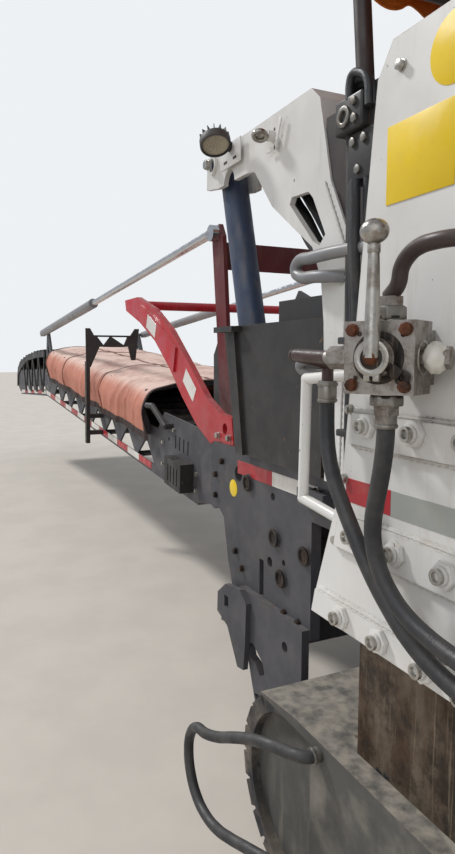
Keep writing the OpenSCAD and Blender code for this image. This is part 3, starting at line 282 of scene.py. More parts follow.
def rubber(name, base, dust, dusting, rough, grain=220):
    """Moulded or wrapped rubber: matte, greyed by dust, with a fine wrapped texture."""
    material, tree, place = start(name)
    tone = coat(tree, base, dust, cloud(tree, place, 11, 8, 0.65, 0.38, 0.72), dusting)
    tone = coat(tree, tone, dust, upward(tree), dusting * 0.6)
    return surface(material, tone, (cloud(tree, place, 18, 4), rough - 0.12, rough + 0.2),
                   (cloud(tree, place, grain, 3), 0.0006, 0.4))


def cloth(name, base, painted_sunlit_top, stain, thread_mm):
    """Woven coated cloth: a weave on the cloth's own metres, tops painted lighter as sunlight, stains in the
    folds.

    The threads are drawn coarser than real ones so that they show.
    """
    material, tree, place = start(name)
    flat = add(tree, "ShaderNodeTexCoord").outputs["UV"]
    per_metre = 1000.0 / thread_mm / 2
    warp, weft = (add(tree, "ShaderNodeTexWave",
                      {"Vector": flat, "Scale": per_metre / 3.2, "Distortion": 0.4},
                      bands_direction=way).outputs["Fac"] for way in "XY")
    weave = add(tree, "ShaderNodeMath", {0: warp, 1: weft}, operation="ADD").outputs[0]
    # painted sunlight: the faces that look up take the lighter colour, as on the sunlit top of the cover
    tone = coat(tree, base, painted_sunlit_top, upward(tree, 0.35, 0.95), 0.85)
    tone = coat(tree, tone, stain, cloud(tree, place, 3.2, 8, 0.7, 0.42, 0.70), 0.6)
    tone = coat(tree, tone, stain, weave, 0.06)
    creases = cloud(tree, place, 9, 6, 0.6, 0.3, 0.7)
    height = add(tree, "ShaderNodeMath", {0: weave, 1: 0.04, 2: creases}, operation="MULTIPLY_ADD").outputs[0]
    return surface(material, tone, 0.85, (height, 0.006, 0.5))


def plastic(name, base, dust, rough=0.5, dusting=0.35):
    """Moulded plastic with a leather grain of about 2 mm."""
    material, tree, place = start(name)
    tone = coat(tree, base, dust, cloud(tree, place, 8, 6), dusting)
    cell = add(tree, "ShaderNodeTexVoronoi", {"Vector": place, "Scale": 420.0}, feature="DISTANCE_TO_EDGE")
    return surface(material, tone, (cloud(tree, place, 60, 3), rough - 0.08, rough + 0.12),
                   (cell.outputs["Distance"], 0.0005, 0.3))


finish = {}


def make_finishes(colours):
    """Fill the table of finishes, by the name of the slot or part that uses each."""
    dust = "#a8977d"
    finish.update({
        # two-pack enamel, chalky off-white, dust streaks and small chips
        "white_paint": enamel("off_white_enamel", colours.white, "#cfcdc9", "#b5a58e", 0.035, 0.38, 0.35),
        # dark chassis enamel, satin, dusty
        "frame_grey": enamel("chassis_grey_enamel", "#47474c", "#3d3d41", "#7d7468", 0.05, 0.5, 0.34,
                             "#5a4030", 0.45, "#5d564d", 0.4),
        "box_black": enamel("black_enamel", "#2c2a2a", "#232222", "#655a4d", 0.05, 0.45, 0.28, "#6b5138", 0.5,
                            "#453f38", 0.3),
        # chassis enamel under caked dust, for what runs near the ground
        "crawler_paint": enamel("dusty_chassis_enamel", "#55534f", "#474643", "#a39a8c", 0.04, 0.62, 0.8,
                                "#5a4a3c", 0.4, "#8d8475", 0.4),
        "signal_red": enamel("signal_red_enamel", "#b81f2c", "#a31a27", "#b08a78", 0.05, 0.32, 0.28),
        # the mast wears the guard's red, painted darker as shade because it stands in shadow
        "mast_red": enamel("red_enamel_painted_shade", "#6b1f26", "#55191e", "#7c6455", 0.06, 0.42, 0.35),
        "cylinder_blue": enamel("blue_grey_enamel", "#3c4a63", "#2f3b52", "#7d7568", 0.03, 0.35, 0.3),
        "barrel_grey": enamel("aluminium_enamel", "#8a8b8e", "#77787b", dust, 0.02, 0.38, 0.35),
        "post_brown": enamel("brown_black_enamel", "#3a2b28", "#2c2120", "#7a6a5c", 0.04, 0.42, 0.3),
        "rail_paint": enamel("handrail_enamel", "#d6d5d0", "#c5c4bf", dust, 0.02, 0.35, 0.3),
        "deck_grip": enamel("grip_deck_enamel", "#55565a", "#48494c", dust, 0.05, 0.6, 0.6),
        # hard chrome on a ground rod
        "rod_chrome": plated_steel("hard_chrome", "#c9cacc", "#8f8d8a", 0.08, 0.25, 60),
        "nickel": plated_steel("machined_steel", "#b1aea8", "#6c5c4c", 0.26, 0.6),
        "valve_steel": plated_steel("machined_valve_steel", "#a09b95", "#5e4d40", 0.32, 0.75,
                                    painted=2.345 - MID_X),
        "exhaust_steel": plated_steel("heat_tinted_steel", "#8b847b", "#5b4433", 0.35, 0.6),
        "greased_steel": greased_steel("greased_column_steel", "#75695b", "#4e3a2a", "#2a221c", 0.5, 0.6,
                                       0.10),
        "drum_steel": greased_steel("worn_drum_steel", "#6c655c", "#5b4230", "#8b8072", 0.6, 0.5),
        "engine_iron": greased_steel("cast_iron", "#5a5b5d", "#4a4340", "#26241f", 0.6, 0.4),
        "track_rubber": rubber("track_pad_rubber", "#26262a", "#8d8170", 0.55, 0.7, 90),
        "belt_rubber": rubber("belt_rubber", "#222226", "#7c7265", 0.45, 0.65),
        "hose_rubber": rubber("hose_cover_rubber", "#26272a", "#5f5a54", 0.35, 0.5, 380),
        # the second colour of each cloth is painted sunlight on the faces that look up
        "canvas": cloth("salmon_canvas", colours.canvas, "#ecd3c4", "#9c6352", 6.0),
        "roof_fabric": cloth("orange_awning", "#d8731c", "#e88a35", "#9c4f12", 6.0),
        "black_plastic": plastic("moulded_black_plastic", "#222225", "#77706a"),
        "seat_vinyl": plastic("seat_vinyl", "#1f1f22", "#5f5a55", 0.45, 0.2),
        # screen printed films and small parts
        "tape_red": film("red_reflective_film", "#b3182a", "#9c1423", "#a98a7c", 0.28, 0.3, 4.0),
        "tape_white": film("white_reflective_film", "#dedad4", "#cdc8c1", "#a09585", 0.30, 0.4, 4.0),
        "tape_grey": film("grey_reflective_film", "#9a9d98", "#8c8f8b", "#b0a595", 0.35, 0.3, 4.0),
        "sign_yellow": film("yellow_sign_film", "#ecca12", "#dcba0e", "#b99d4c", 0.3, 0.22),
        "rust": greased_steel("rusty_steel", "#7d4a2e", "#5a2f1b", "#33221a", 0.75, 0.25),
        "dark_steel": greased_steel("blackened_steel", "#3a3836", "#4a382c", "#1d1b1a", 0.5, 0.6),
        "zinc": plated_steel("zinc_plated_steel", "#bdbbb5", "#7a6d5d", 0.3, 0.5),
        "crimp": plated_steel("crimped_ferrule_steel", "#8f8c86", "#5a4c3e", 0.34, 0.6),
        "bead": enamel("painted_weld_bead", "#d9d7d2", "#b9b6b0", "#8f8270", 0.06, 0.45, 0.5),
        "lens": plastic("lamp_lens_plastic", "#b9b09a", "#8d8475", 0.2, 0.4),
        # here too the second colour is painted sunlight on the tops of the webbing and tape
        "hem": cloth("hem_webbing", "#3d2d29", "#55423b", "#241a17", 5.0),
        "tape_cloth": cloth("seam_tape", "#8c5142", "#8b6a5d", "#5b3a31", 5.0),
        "tie": plastic("cable_tie_nylon", "#d6d2c8", "#8d8475", 0.35, 0.4),
    })


def nothing_selected():
    """Leave edit mode and deselect everything, since an operator acts on all that is selected."""
    if bpy.context.mode != "OBJECT":
        bpy.ops.object.mode_set(mode="OBJECT")
    bpy.ops.object.select_all(action="DESELECT")


def only(piece):
    """Select this piece and no other."""
    nothing_selected()
    piece.select_set(True)
    bpy.context.view_layer.objects.active = piece
    return piece


def joined(pieces):
    """All the pieces as one."""
    nothing_selected()
    for piece in pieces:
        piece.select_set(True)
    bpy.context.view_layer.objects.active = pieces[0]
    bpy.ops.object.join()
    return bpy.context.object


def settle(piece, name, look, smooth=35, body="chassis"):
    """Join a list of pieces, put the place in the mesh, and give the piece its name, finish and body."""
    piece = only(joined(piece) if isinstance(piece, list) else piece)
    bpy.ops.object.transform_apply(location=True, rotation=True, scale=True)
    piece.name = name
    piece.data.name = name
    piece.data.materials.clear()
    piece.data.materials.append(finish[look])
    if smooth:
        bpy.ops.object.shade_smooth_by_angle(angle=math.radians(smooth))
    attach(piece, body)
    return piece


def settle_films(prefix, films, body="chassis"):
    """Settle the strips of each colour as one piece, named for the colour."""
    for look, strips in films.items():
        settle(strips, prefix + look, look, None, body)


def put(piece, m):
    """Give the piece a place, in whatever place it was made."""
    piece.matrix_world = m
    return piece


def moved(piece, m):
    """Move the piece on from the place it was made in."""
    piece.matrix_world = m @ piece.matrix_world
    return piece


def shift(x, y, z):
    """The matrix of a move."""
    return Matrix.Translation((x, y, z))


def spun(degrees, axis):
    """The matrix of a turn about an axis."""
    return Matrix.Rotation(math.radians(degrees), 4, axis)


def copies(model, places):
    """Copies of the model at each matrix, joined into one piece; the model goes."""
    made = []
    for m in places:
        twin = model.copy()
        twin.data = model.data.copy()
        bpy.context.collection.objects.link(twin)
        twin.matrix_world = m @ model.matrix_world
        made.append(twin)
    whole = joined(made)
    bpy.data.objects.remove(model)
    return whole


def faces_where(test):
    """In edit mode, select the faces that the test takes, by centre and normal."""
    bpy.ops.mesh.select_mode(type="FACE")
    bpy.ops.mesh.select_all(action="DESELECT")
    mesh = bmesh.from_edit_mesh(bpy.context.object.data)
    for face in mesh.faces:
        face.select_set(test(face.calc_center_median(), face.normal))
    bmesh.update_edit_mesh(bpy.context.object.data)


def disc(radius, depth, sides=24, bevel=0.0, loc=(0, 0, 0)):
    """A disc or stub standing on z = 0."""
    nothing_selected()
    bpy.ops.mesh.primitive_cylinder_add(vertices=sides, radius=radius, depth=depth,
                                        location=(loc[0], loc[1], loc[2] + depth / 2))
    return bevelled(bpy.context.object, bevel) if bevel else bpy.context.object


def hexagon(across, depth, bevel, base=0.0):
    """A hexagon of the given width across its flats, standing on z = base."""
    return disc(across / 2 / math.cos(math.pi / 6), depth, 6, bevel, (0, 0, base))


def ball(radius, segments, rings):
    """A round body, to be shaped further."""
    nothing_selected()
    bpy.ops.mesh.primitive_uv_sphere_add(segments=segments, ring_count=rings, radius=radius)
    return bpy.context.object


def bevelled(piece, width, segments=2):
    """Round the edges of the piece that turn by more than 40 degrees."""
    only(piece)
    bpy.ops.object.transform_apply(location=False, rotation=False, scale=True)
    change = piece.modifiers.new("edge", "BEVEL")
    change.width = width
    change.segments = segments
    change.limit_method = "ANGLE"
    change.angle_limit = math.radians(40)
    bpy.ops.object.modifier_apply(modifier="edge")
    return piece


def ring_of(outer, inner, depth, sides=28, bevel=0.001):
    """A washer on z = 0, made by an inset and a push through."""
    piece = disc(outer, depth, sides)
    bpy.ops.object.mode_set(mode="EDIT")
    faces_where(lambda c, n: n.z > 0.9)
    bpy.ops.mesh.inset(thickness=outer - inner)
    bpy.ops.mesh.extrude_region_move(TRANSFORM_OT_translate={"value": (0, 0, -depth * 0.92)})
    bpy.ops.object.mode_set(mode="OBJECT")
    return bevelled(piece, bevel)


def block(size, centre=(0, 0, 0), bevel=0.002, segments=2):
    """A block with rounded edges."""
    nothing_selected()
    bpy.ops.mesh.primitive_cube_add(size=1, location=centre)
    piece = bpy.context.object
    piece.scale = size
    return bevelled(piece, bevel, segments)


def strip(length, wide, centre=(0, 0, 0)):
    """A strip of marking tape, flat against a side of the machine."""
    return block((length, 0.0012, wide), centre, 0.0003, 1)


def tube(points, radius, sides=5, waves=None):
    """A tube along points through a smooth curve; waves ripples its radius as a weld bead does."""
    data = bpy.data.curves.new("route", "CURVE")
    data.dimensions = "3D"
    data.bevel_depth = radius
    data.bevel_resolution = sides
    data.use_fill_caps = True
    data.resolution_u = 6
    spline = data.splines.new("BEZIER" if waves is None else "POLY")
    if waves is None:
        spline.bezier_points.add(len(points) - 1)
        for p, c in zip(spline.bezier_points, points):
            p.co = c
            p.handle_left_type = p.handle_right_type = "AUTO"
    else:
        fine = []
        for a, b in zip(points, points[1:]):
            steps = max(2, int((Vector(b) - Vector(a)).length / waves))
            fine += [Vector(a).lerp(Vector(b), i / steps) for i in range(steps)]
        fine.append(Vector(points[-1]))
        spline.points.add(len(fine) - 1)
        for i, (p, c) in enumerate(zip(spline.points, fine)):
            p.co = (*c, 1)
            p.radius = 0.75 + 0.45 * (i % 2) + 0.15 * noise.noise(c * 40)
    piece = bpy.data.objects.new("route", data)
    bpy.context.collection.objects.link(piece)
    only(piece)
    bpy.ops.object.convert(target="MESH")
    return bpy.context.object


def line_through(points, radius, sides=4):
    """A tube through places on the machine, such as a rail or a clipped hydraulic line."""
    return tube([at(*p) for p in points], radius, sides)


def facing(origin, out, up=(0, 0, 1)):
    """A matrix whose z axis points out of a wall at the origin, and whose y axis is up along it."""
    z = Vector(out).normalized()
    x = Vector(up).cross(z).normalized()
    y = z.cross(x)
    m = Matrix((x, y, z)).transposed().to_4x4()
    m.translation = Vector(origin)
    return m


def on_side(x, side, y, z):
    """A matrix whose z axis points out of the machine's left (1) or right (-1) side, y from its middle."""
    return facing(at(x, side * y, z), (0, side, 0))


def hex_bolt(across, head):
    """A washer and a bevelled hexagon head on z = 0."""
    washer = disc(across * 0.62, 0.003, 24, 0.0008)
    return joined([washer, hexagon(across, head, 0.0018, 0.003)])


def clamping_nut(across=0.050):
    """A hexagon nut, and the hollow set screw in it as a piece of its own."""
    nut = hexagon(across, 0.012, 0.002)
    neck = disc(across * 0.36, 0.008, 28, 0.002, (0, 0, 0.012))
    screw = ring_of(across * 0.31, across * 0.19, 0.022, 28, 0.0014)
    screw.location = (0, 0, 0.018)
    return joined([nut, neck]), screw


class PlanerColours(bpy.types.PropertyGroup):
    white: StringProperty(name="Body white", description="Enamel of the leg housings and hood",
                          default="#dcdad6")
    canvas: StringProperty(name="Canvas", description="Colour of the conveyor's cover", default="#c4806b")


class PlanerSizes(bpy.types.PropertyGroup):
    hose: FloatProperty(name="Hose diameter", description="Outside diameter of the leg hoses",
                        default=0.034, unit="LENGTH")
    tape: FloatProperty(name="Tape width", description="Width of the marking tape", default=0.054,
                        unit="LENGTH")


class PlanerStage(bpy.types.PropertyGroup):
    sun: FloatProperty(name="Key light", description="Strength of the key light", default=2.1)
    floor: FloatVectorProperty(name="Floor", description="Colour of the floor", subtype="COLOR", size=3,
                               default=linear("#cfc6ba")[:3])


# the routes of the leg hoses, from one fitting to the other
HOSES = {
    "valve_hose": (
        (2.237, 1.262, 1.490), (2.237, 1.262, 1.450), (2.242, 1.262, 1.405), (2.252, 1.261, 1.360),
        (2.264, 1.260, 1.315), (2.272, 1.258, 1.280), (2.272, 1.256, 1.240), (2.256, 1.253, 1.192),
        (2.226, 1.249, 1.152), (2.184, 1.245, 1.122), (2.134, 1.241, 1.103), (2.080, 1.238, 1.092),
        (2.035, 1.238, 1.088), (2.000, 1.238, 1.088),
    ),
    "elbow_hose": (
        (2.489, 1.222, 1.520), (2.489, 1.222, 1.475), (2.484, 1.224, 1.430), (2.470, 1.228, 1.382),
        (2.446, 1.231, 1.336), (2.414, 1.233, 1.292), (2.378, 1.234, 1.248), (2.340, 1.234, 1.202),
        (2.300, 1.233, 1.158), (2.258, 1.231, 1.118), (2.212, 1.229, 1.082), (2.164, 1.226, 1.054),
        (2.114, 1.222, 1.034), (2.070, 1.220, 1.024), (2.030, 1.220, 1.020), (2.000, 1.220, 1.020),
    ),
    "crawler_hose": (
        (2.560, 1.180, 0.610), (2.560, 1.212, 0.610), (2.590, 1.238, 0.608), (2.640, 1.254, 0.600),
        (2.710, 1.268, 0.580), (2.780, 1.280, 0.552), (2.845, 1.290, 0.520), (2.915, 1.300, 0.484),
        (2.985, 1.308, 0.458), (3.053, 1.310, 0.440), (3.103, 1.310, 0.390), (3.121, 1.310, 0.322),
        (3.103, 1.310, 0.254), (3.053, 1.309, 0.204), (2.985, 1.306, 0.186), (2.915, 1.300, 0.190),
        (2.845, 1.290, 0.208), (2.775, 1.278, 0.230), (2.705, 1.266, 0.252), (2.640, 1.250, 0.270),
        (2.590, 1.234, 0.284), (2.560, 1.212, 0.290), (2.560, 1.180, 0.290),
    ),
}


def hose_curve(name, route, diameter):
    """A hose as a round curve through its route, and its length."""
    data = bpy.data.curves.new(name, "CURVE")
    data.dimensions = "3D"
    data.bevel_depth = diameter / 2
    data.bevel_resolution = 6
    data.use_fill_caps = True
    data.resolution_u = 8
    spline = data.splines.new("BEZIER")
    spline.bezier_points.add(len(route) - 1)
    for point, place in zip(spline.bezier_points, route):
        point.co = at(*place)
        point.handle_left_type = point.handle_right_type = "AUTO"
    piece = bpy.data.objects.new(name + "_cover", data)
    bpy.context.collection.objects.link(piece)
    data.materials.append(finish["hose_rubber"])
    bpy.context.view_layer.update()
    return piece, sum(s.calc_length() for s in data.splines)


# nodes whose finish differs from their slot's
OWN_FINISH = {"valve": "valve_steel"}


class PLANER_OT_finishes(bpy.types.Operator):
    """Make the finishes and give every carried-over piece its own"""
    bl_idname = "planer.finishes"
    bl_label = "Finishes"

    def execute(self, context):
        make_finishes(context.scene.planer_colours)
        slots = {part["node"]: part["material_slot"] for part in frame["record"]["subparts"]}
        for node in frame["nodes"]:
            piece = bpy.data.objects.get(node)
            if piece is None:
                raise RuntimeError("no such piece: " + node)
            piece.data.materials.clear()
            look = OWN_FINISH.get(node, "crawler_paint" if node.startswith("crawler_") else slots[node])
            piece.data.materials.append(finish["hose_rubber" if node == "crawler_hose" else look])
        return {"FINISHED"}


class PLANER_OT_hoses(bpy.types.Operator):
    """Lay the leg hoses along their routes, with their crimped ends"""
    bl_idname = "planer.hoses"
    bl_label = "Hoses"

    def execute(self, context):
        size = context.scene.planer_sizes.hose
        for name, route in HOSES.items():
            wide = size - 0.002 if name == "crawler_hose" else size
            body = "crawler_fl" if name == "crawler_hose" else "chassis"
            piece, length = hose_curve(name, route, wide)
            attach(piece, body)
            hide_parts(name)
            # crimped sleeves over both ends, each with a collar and a raised band
            ends = []
            for a, b in ((route[0], route[1]), (route[-1], route[-2])):
                way = at(*b) - at(*a)
                sleeve = disc(wide / 2 + 0.0035, 0.048, 12, 0.0015)
                collar = disc(wide / 2 + 0.006, 0.007, 24, 0.001, (0, 0, 0.004))
                band = disc(wide / 2 + 0.0052, 0.006, 24, 0.001, (0, 0, 0.040))
                up = (1, 0, 0) if abs(way.z) > 0.9 * way.length else (0, 0, 1)
                ends.append(put(joined([sleeve, collar, band]),
                                facing(at(*a) + way.normalized() * 0.0005, way, up)))
            settle(ends, name + "_ends", "crimp", body=body)
        return {"FINISHED"}


# the canvas cover's ends and the hoops under it, along the conveyor
COVER_S = (1.030, 4.650)
HOOPS = (1.150, 2.050, 3.000, 3.900, 4.490)


def cover_line(inset):
    """The cover's section from the left hem over the top to the right hem, with rounded folds."""
    side, top = 0.620, 0.420
    half = [(side - inset, 0.0), (side + 0.045 - inset, 0.220),
            (side - 0.010 - inset, top - 0.065 - inset / 2), (0.330, top - inset)]
    corners = half + [(-x, z) for x, z in reversed(half)]
    line = [Vector(corners[0])]
    for i in range(1, len(corners) - 1):
        p, q, r = (Vector(corners[k]) for k in (i - 1, i, i + 1))
        cut = min(0.07, (p - q).length / 2.5, (r - q).length / 2.5)
        before, after = q + (p - q).normalized() * cut, q + (r - q).normalized() * cut
        for k in range(5):
            f = k / 4
            line.append(before.lerp(q, f).lerp(q.lerp(after, f), f))
    line.append(Vector(corners[-1]))
    # even spacing
    lengths = [0.0]
    for p, q in zip(line, line[1:]):
        lengths.append(lengths[-1] + (q - p).length)
    total, count, out, k = lengths[-1], 72, [], 0
    for i in range(count + 1):
        want = total * i / count
        while k < len(lengths) - 2 and lengths[k + 1] < want:
            k += 1
        f = (want - lengths[k]) / max(lengths[k + 1] - lengths[k], 1e-9)
        out.append(line[k].lerp(line[k + 1], f))
    return out, total


def cloth_grid(name, rows, columns, place, metres):
    """A grid of cloth: place gives each corner's position, metres its spot on the flat cloth."""
    mesh = bmesh.new()
    layer = mesh.loops.layers.uv.new("cloth")
    grid = [[mesh.verts.new(place(i, j)) for j in range(columns)] for i in range(rows)]
    for i in range(rows - 1):
        for j in range(columns - 1):
            corners = ((i, j), (i + 1, j), (i + 1, j + 1), (i, j + 1))
            face = mesh.faces.new([grid[p][q] for p, q in corners])
            face.smooth = True
            for loop, (p, q) in zip(face.loops, corners):
                loop[layer].uv = metres(p, q)
    mesh.normal_update()
    data = bpy.data.meshes.new(name)
    mesh.to_mesh(data)
    mesh.free()
    piece = bpy.data.objects.new(name, data)
    bpy.context.collection.objects.link(piece)
    return piece


def cover_spot(line, rows, i, j):
    """A point of the stretched cover: sagging between the hoops, creased towards them, wavy at the hems."""
    s = COVER_S[0] + 0.004 + (COVER_S[1] - COVER_S[0] - 0.008) * i / (rows - 1)
    v, w = line[j]
    along = line[min(j + 1, len(line) - 1)] - line[max(j - 1, 0)]
    out_v, out_w = -along.y, along.x
    if out_v * v + out_w * (w - 0.1) < 0:
        out_v, out_w = -out_v, -out_w
    size = math.hypot(out_v, out_w)
    out_v, out_w = out_v / size, out_w / size
    span = next(((a, b) for a, b in zip(HOOPS, HOOPS[1:]) if a <= s <= b), None)
    slack = math.sin(math.pi * (s - span[0]) / (span[1] - span[0])) ** 2 if span else 0.0
    free = min(1.0, min(abs(s - h) for h in HOOPS) / 0.14)
    top = max(0.0, out_w)
    broad = noise.noise(Vector((s * 2.3, v * 2.0, w * 3.0)))
    lean = s * 4.6 + 2.6 * w * math.copysign(1, v) + 1.3 * v
    crease = max(0.0, 1 - 3.2 * abs(noise.noise(Vector((lean, 1.1 * w, 9.0 + v))))) ** 2
    fine = max(0.0, 1 - 3.0 * abs(noise.noise(Vector((s * 11.0 - 4.0 * w, 2.0 * w, 3.0 - v))))) ** 2
    hem = max(0.0, 1 - w / 0.15)
    push = (0.006 * broad + 0.011 * crease + 0.005 * fine - 0.014 * slack) * (0.30 + 0.70 * free)
    push += 0.007 * math.sin(s * 17 + 2 * v) * hem * free
    lift = 0.016 * hem * noise.noise(Vector((s * 2.4, math.copysign(1, v), 0.5)))
    return luffed(s, v + out_v * push, w + out_w * push * (1 - 0.25 * top) + lift)


class PLANER_OT_canvas(bpy.types.Operator):
    """Stretch the canvas over the conveyor's hoops, bound with dark webbing"""
    bl_idname = "planer.canvas"
    bl_label = "Canvas cover"

    def execute(self, context):
        line, across = cover_line(0.012)
        rows = 360
        last = len(line) - 1
        long = COVER_S[1] - COVER_S[0]

        def spot(i, j):
            return cover_spot(line, rows, i, j)

        def lifted(i, j, height):
            """A point above the cloth, for what is sewn on it."""
            p = spot(i, j)
            along = spot(min(i + 1, rows - 1), j) - spot(max(i - 1, 0), j)
            over = spot(i, min(j + 1, last)) - spot(i, max(j - 1, 0))
            out = along.cross(over).normalized()
            # outwards from the conveyor's middle on the top, and away from it on the sides
            inward = out.dot(p - luffed(2.8, 0, 0.1)) if abs(out.z) > 0.3 else out.y * p.y
            if inward < 0:
                out.negate()
            return p + out * height

        cover = cloth_grid("canvas_cover", rows, last + 1, spot,
                           lambda i, j: (long * i / (rows - 1), across * j / last))
        cover.data.materials.append(finish["canvas"])
        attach(cover, "discharge")
        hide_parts("discharge_cover")

        def webbing(rows_at, columns_at, height=0.003):
            """A sewn band over the given rows and columns of the cloth."""
            band = cloth_grid("band", len(rows_at), len(columns_at),
                              lambda i, j: lifted(rows_at[i], columns_at[j], height),
                              lambda i, j: (long * rows_at[i] / (rows - 1), across * columns_at[j] / last))
            only(band)
            change = band.modifiers.new("thick", "SOLIDIFY")
            change.thickness = 0.003
            change.offset = 0
            bpy.ops.object.modifier_apply(modifier="thick")
            return band

        every = list(range(0, rows, 2)) + [rows - 1]
        whole = list(range(last + 1))
        bound = [webbing(every, list(range(0, 3))), webbing(every, list(range(last - 2, last + 1))),
                 webbing(list(range(0, 5)), whole), webbing(list(range(rows - 5, rows)), whole)]
        hems = settle(bound, "canvas_hems", "hem", 60, "discharge")
        # one seam tape along the top and a pair of ties over it
        middle = last // 2 - 4
        tapes = [webbing(every, [middle, middle + 1]), webbing(list(range(118, 121)), whole),
                 webbing(list(range(268, 271)), whole)]
        straps = settle(tapes, "canvas_straps", "tape_cloth", 60, "discharge")
        return {"FINISHED"}


# the canopy roof's back, front, half width and top
ROOF = (-0.700, 3.560, 1.080, 3.140)


class PLANER_OT_roof(bpy.types.Operator):
    """Lay the canopy's fabric over its rails, with a scalloped valance at both ends"""
    bl_idname = "planer.roof"
    bl_label = "Canopy roof"

    def execute(self, context):
        back, front, half, top = ROOF
        rows, columns = 150, 97
        rails = (back + 0.08, 1.400, front - 0.08)
        edge = 0.085     # depth of the valance on the flat cloth

        def run(i):
            """Metres along the cloth from the back valance's hem, as x and height below the top."""
            total = (front - back) + 2 * edge
            d = total * i / (rows - 1)
            if d < edge:
                return back + 0.004, edge - d
            if d > total - edge:
                return front - 0.004, d - (total - edge)
            return back + 0.004 + (d - edge) * (front - back - 0.008) / (front - back), 0.0

        def spot(i, j):
            x, fall = run(i)
            y = -half + 2 * half * j / (columns - 1)
            if fall:
                scallop = 0.62 + 0.38 * abs(math.sin(math.pi * 4.5 * (y + half) / half))
                wave = 0.003 * math.sin(y * 19)
                way = -1 if x < 1 else 1
                return at(x + way * (-0.002 + wave * fall / edge), y, top - 0.004 - fall * 1.5 * scallop)
            gap = min(abs(x - r) for r in rails)
            sag = 0.020 * min(1.0, gap / 0.6) * math.cos(math.pi * y / half / 2) ** 0.7
            hem = max(0.0, abs(y) / half - 0.94) / 0.06
            ripple = 0.003 * noise.noise(Vector((x * 3, y * 3, 2)))
            return at(x, y, top - 0.006 - sag + ripple - 0.052 * hem ** 2)

        roof = cloth_grid("roof_cloth", rows, columns, spot,
                          lambda i, j: ((front - back + 2 * edge) * i / (rows - 1),
                                        2 * half * j / (columns - 1)))
        roof.data.materials.append(finish["roof_fabric"])
        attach(roof, "chassis")
        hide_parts("canopy_roof")
        hems = [tube([spot(i, j) for j in range(0, columns, 2)], 0.005, 2) for i in (0, rows - 1)]
        hems = settle(hems, "roof_hems", "roof_fabric", None)
        return {"FINISHED"}


# each leg's middle along the machine, the way its front edge looks (1 or -1) and its side (1 or -1)
LEGS = ((2.270, 1, 1), (2.270, 1, -1), (-1.900, -1, 1), (-1.900, -1, -1))
# nuts on the three clamping bars, from the leg's middle
BAR_NUTS = ((0.121, 1.451), (-0.025, 1.451), (-0.160, 1.451), (0.159, 1.203), (0.020, 1.203), (-0.119, 1.203),
            (0.200, 1.002), (0.062, 1.002), (-0.072, 1.002), (-0.180, 1.002))
# weld beads along the bars: height, ends from the leg's middle, and 1 above or -1 below the bar's edge
BAR_BEADS = ((1.240, -0.215, 0.222, 1), (1.030, -0.215, 0.312, 1), (1.475, -0.215, 0.178, 1),
             (1.160, -0.215, 0.236, -1), (1.405, -0.215, 0.188, -1))


class PLANER_OT_legs(bpy.types.Operator):
    """Fasten the clamping bars of the legs, with their weld beads, tape and small bolts"""
    bl_idname = "planer.legs"
    bl_label = "Leg fastenings"

    def execute(self, context):
        places, small, beads = [], [], []
        for x, way, side in LEGS:
            for dx, z in BAR_NUTS:
                places.append(on_side(x + way * dx, side, BAR_Y, z) @ spun(17 * (dx * 40 % 3), "Z"))
            for dx, z in ((0.246, 1.170), (0.218, 1.320), (0.200, 1.480), (-0.200, 2.140), (0.060, 2.150)):
                small.append(on_side(x + way * dx, side, SIDE_Y + GAP, z))
            for z, a, b, up in BAR_BEADS:
                beads.append([at(x + way * end, side * (SIDE_Y + 0.0035), z + 0.003 * up) for end in (a, b)])
        nut, screw = clamping_nut()
        settle(copies(nut, places), "leg_nuts", "white_paint")
        settle(copies(screw, places), "leg_set_screws", "zinc")
        settle(copies(hex_bolt(0.019, 0.010), small), "leg_small_bolts", "zinc")
        settle([tube(p, 0.0062, 2, 0.009) for p in beads], "leg_weld_beads", "bead")
        wide = context.scene.planer_sizes.tape
        films = {"tape_red": [], "tape_grey": []}
        for x, way, side in LEGS:
            for look, a, b in (("tape_red", 0.058, 0.213), ("tape_grey", -0.235, 0.057)):
                middle = at(x + way * (a + b) / 2, side * (SIDE_Y + FILM_OUT), 1.297)
                films[look].append(strip(b - a, wide, middle))
        settle_films("leg_", films)
        # square window with a dark frame beside the front edge
        windows = [put(ring_of(0.013, 0.009, 0.004, 4, 0.0006),
                       on_side(x + way * 0.230, side, SIDE_Y + GAP, 1.202) @ spun(45, "Z"))
                   for x, way, side in LEGS]
        settle(windows, "leg_windows", "dark_steel")
        return {"FINISHED"}


class PLANER_OT_signs(bpy.types.Operator):
    """Fix the blank yellow plates to the leg and the front plates"""
    bl_idname = "planer.signs"
    bl_label = "Blank plates"

    def execute(self, context):
        square = block((0.185, 0.002, 0.150), at(2.275, SIDE_Y + 0.0012, 1.972), 0.0008)
        round_one = put(disc(0.062, 0.002, 48, 0.0006), on_side(2.192, 1, SIDE_Y + GAP, 2.130))
        small = put(disc(0.037, 0.002, 40, 0.0006), on_side(3.748, 1, CHEEK_Y + GAP, 1.030))
        settle([square, round_one, small], "blank_plates", "sign_yellow")
        return {"FINISHED"}


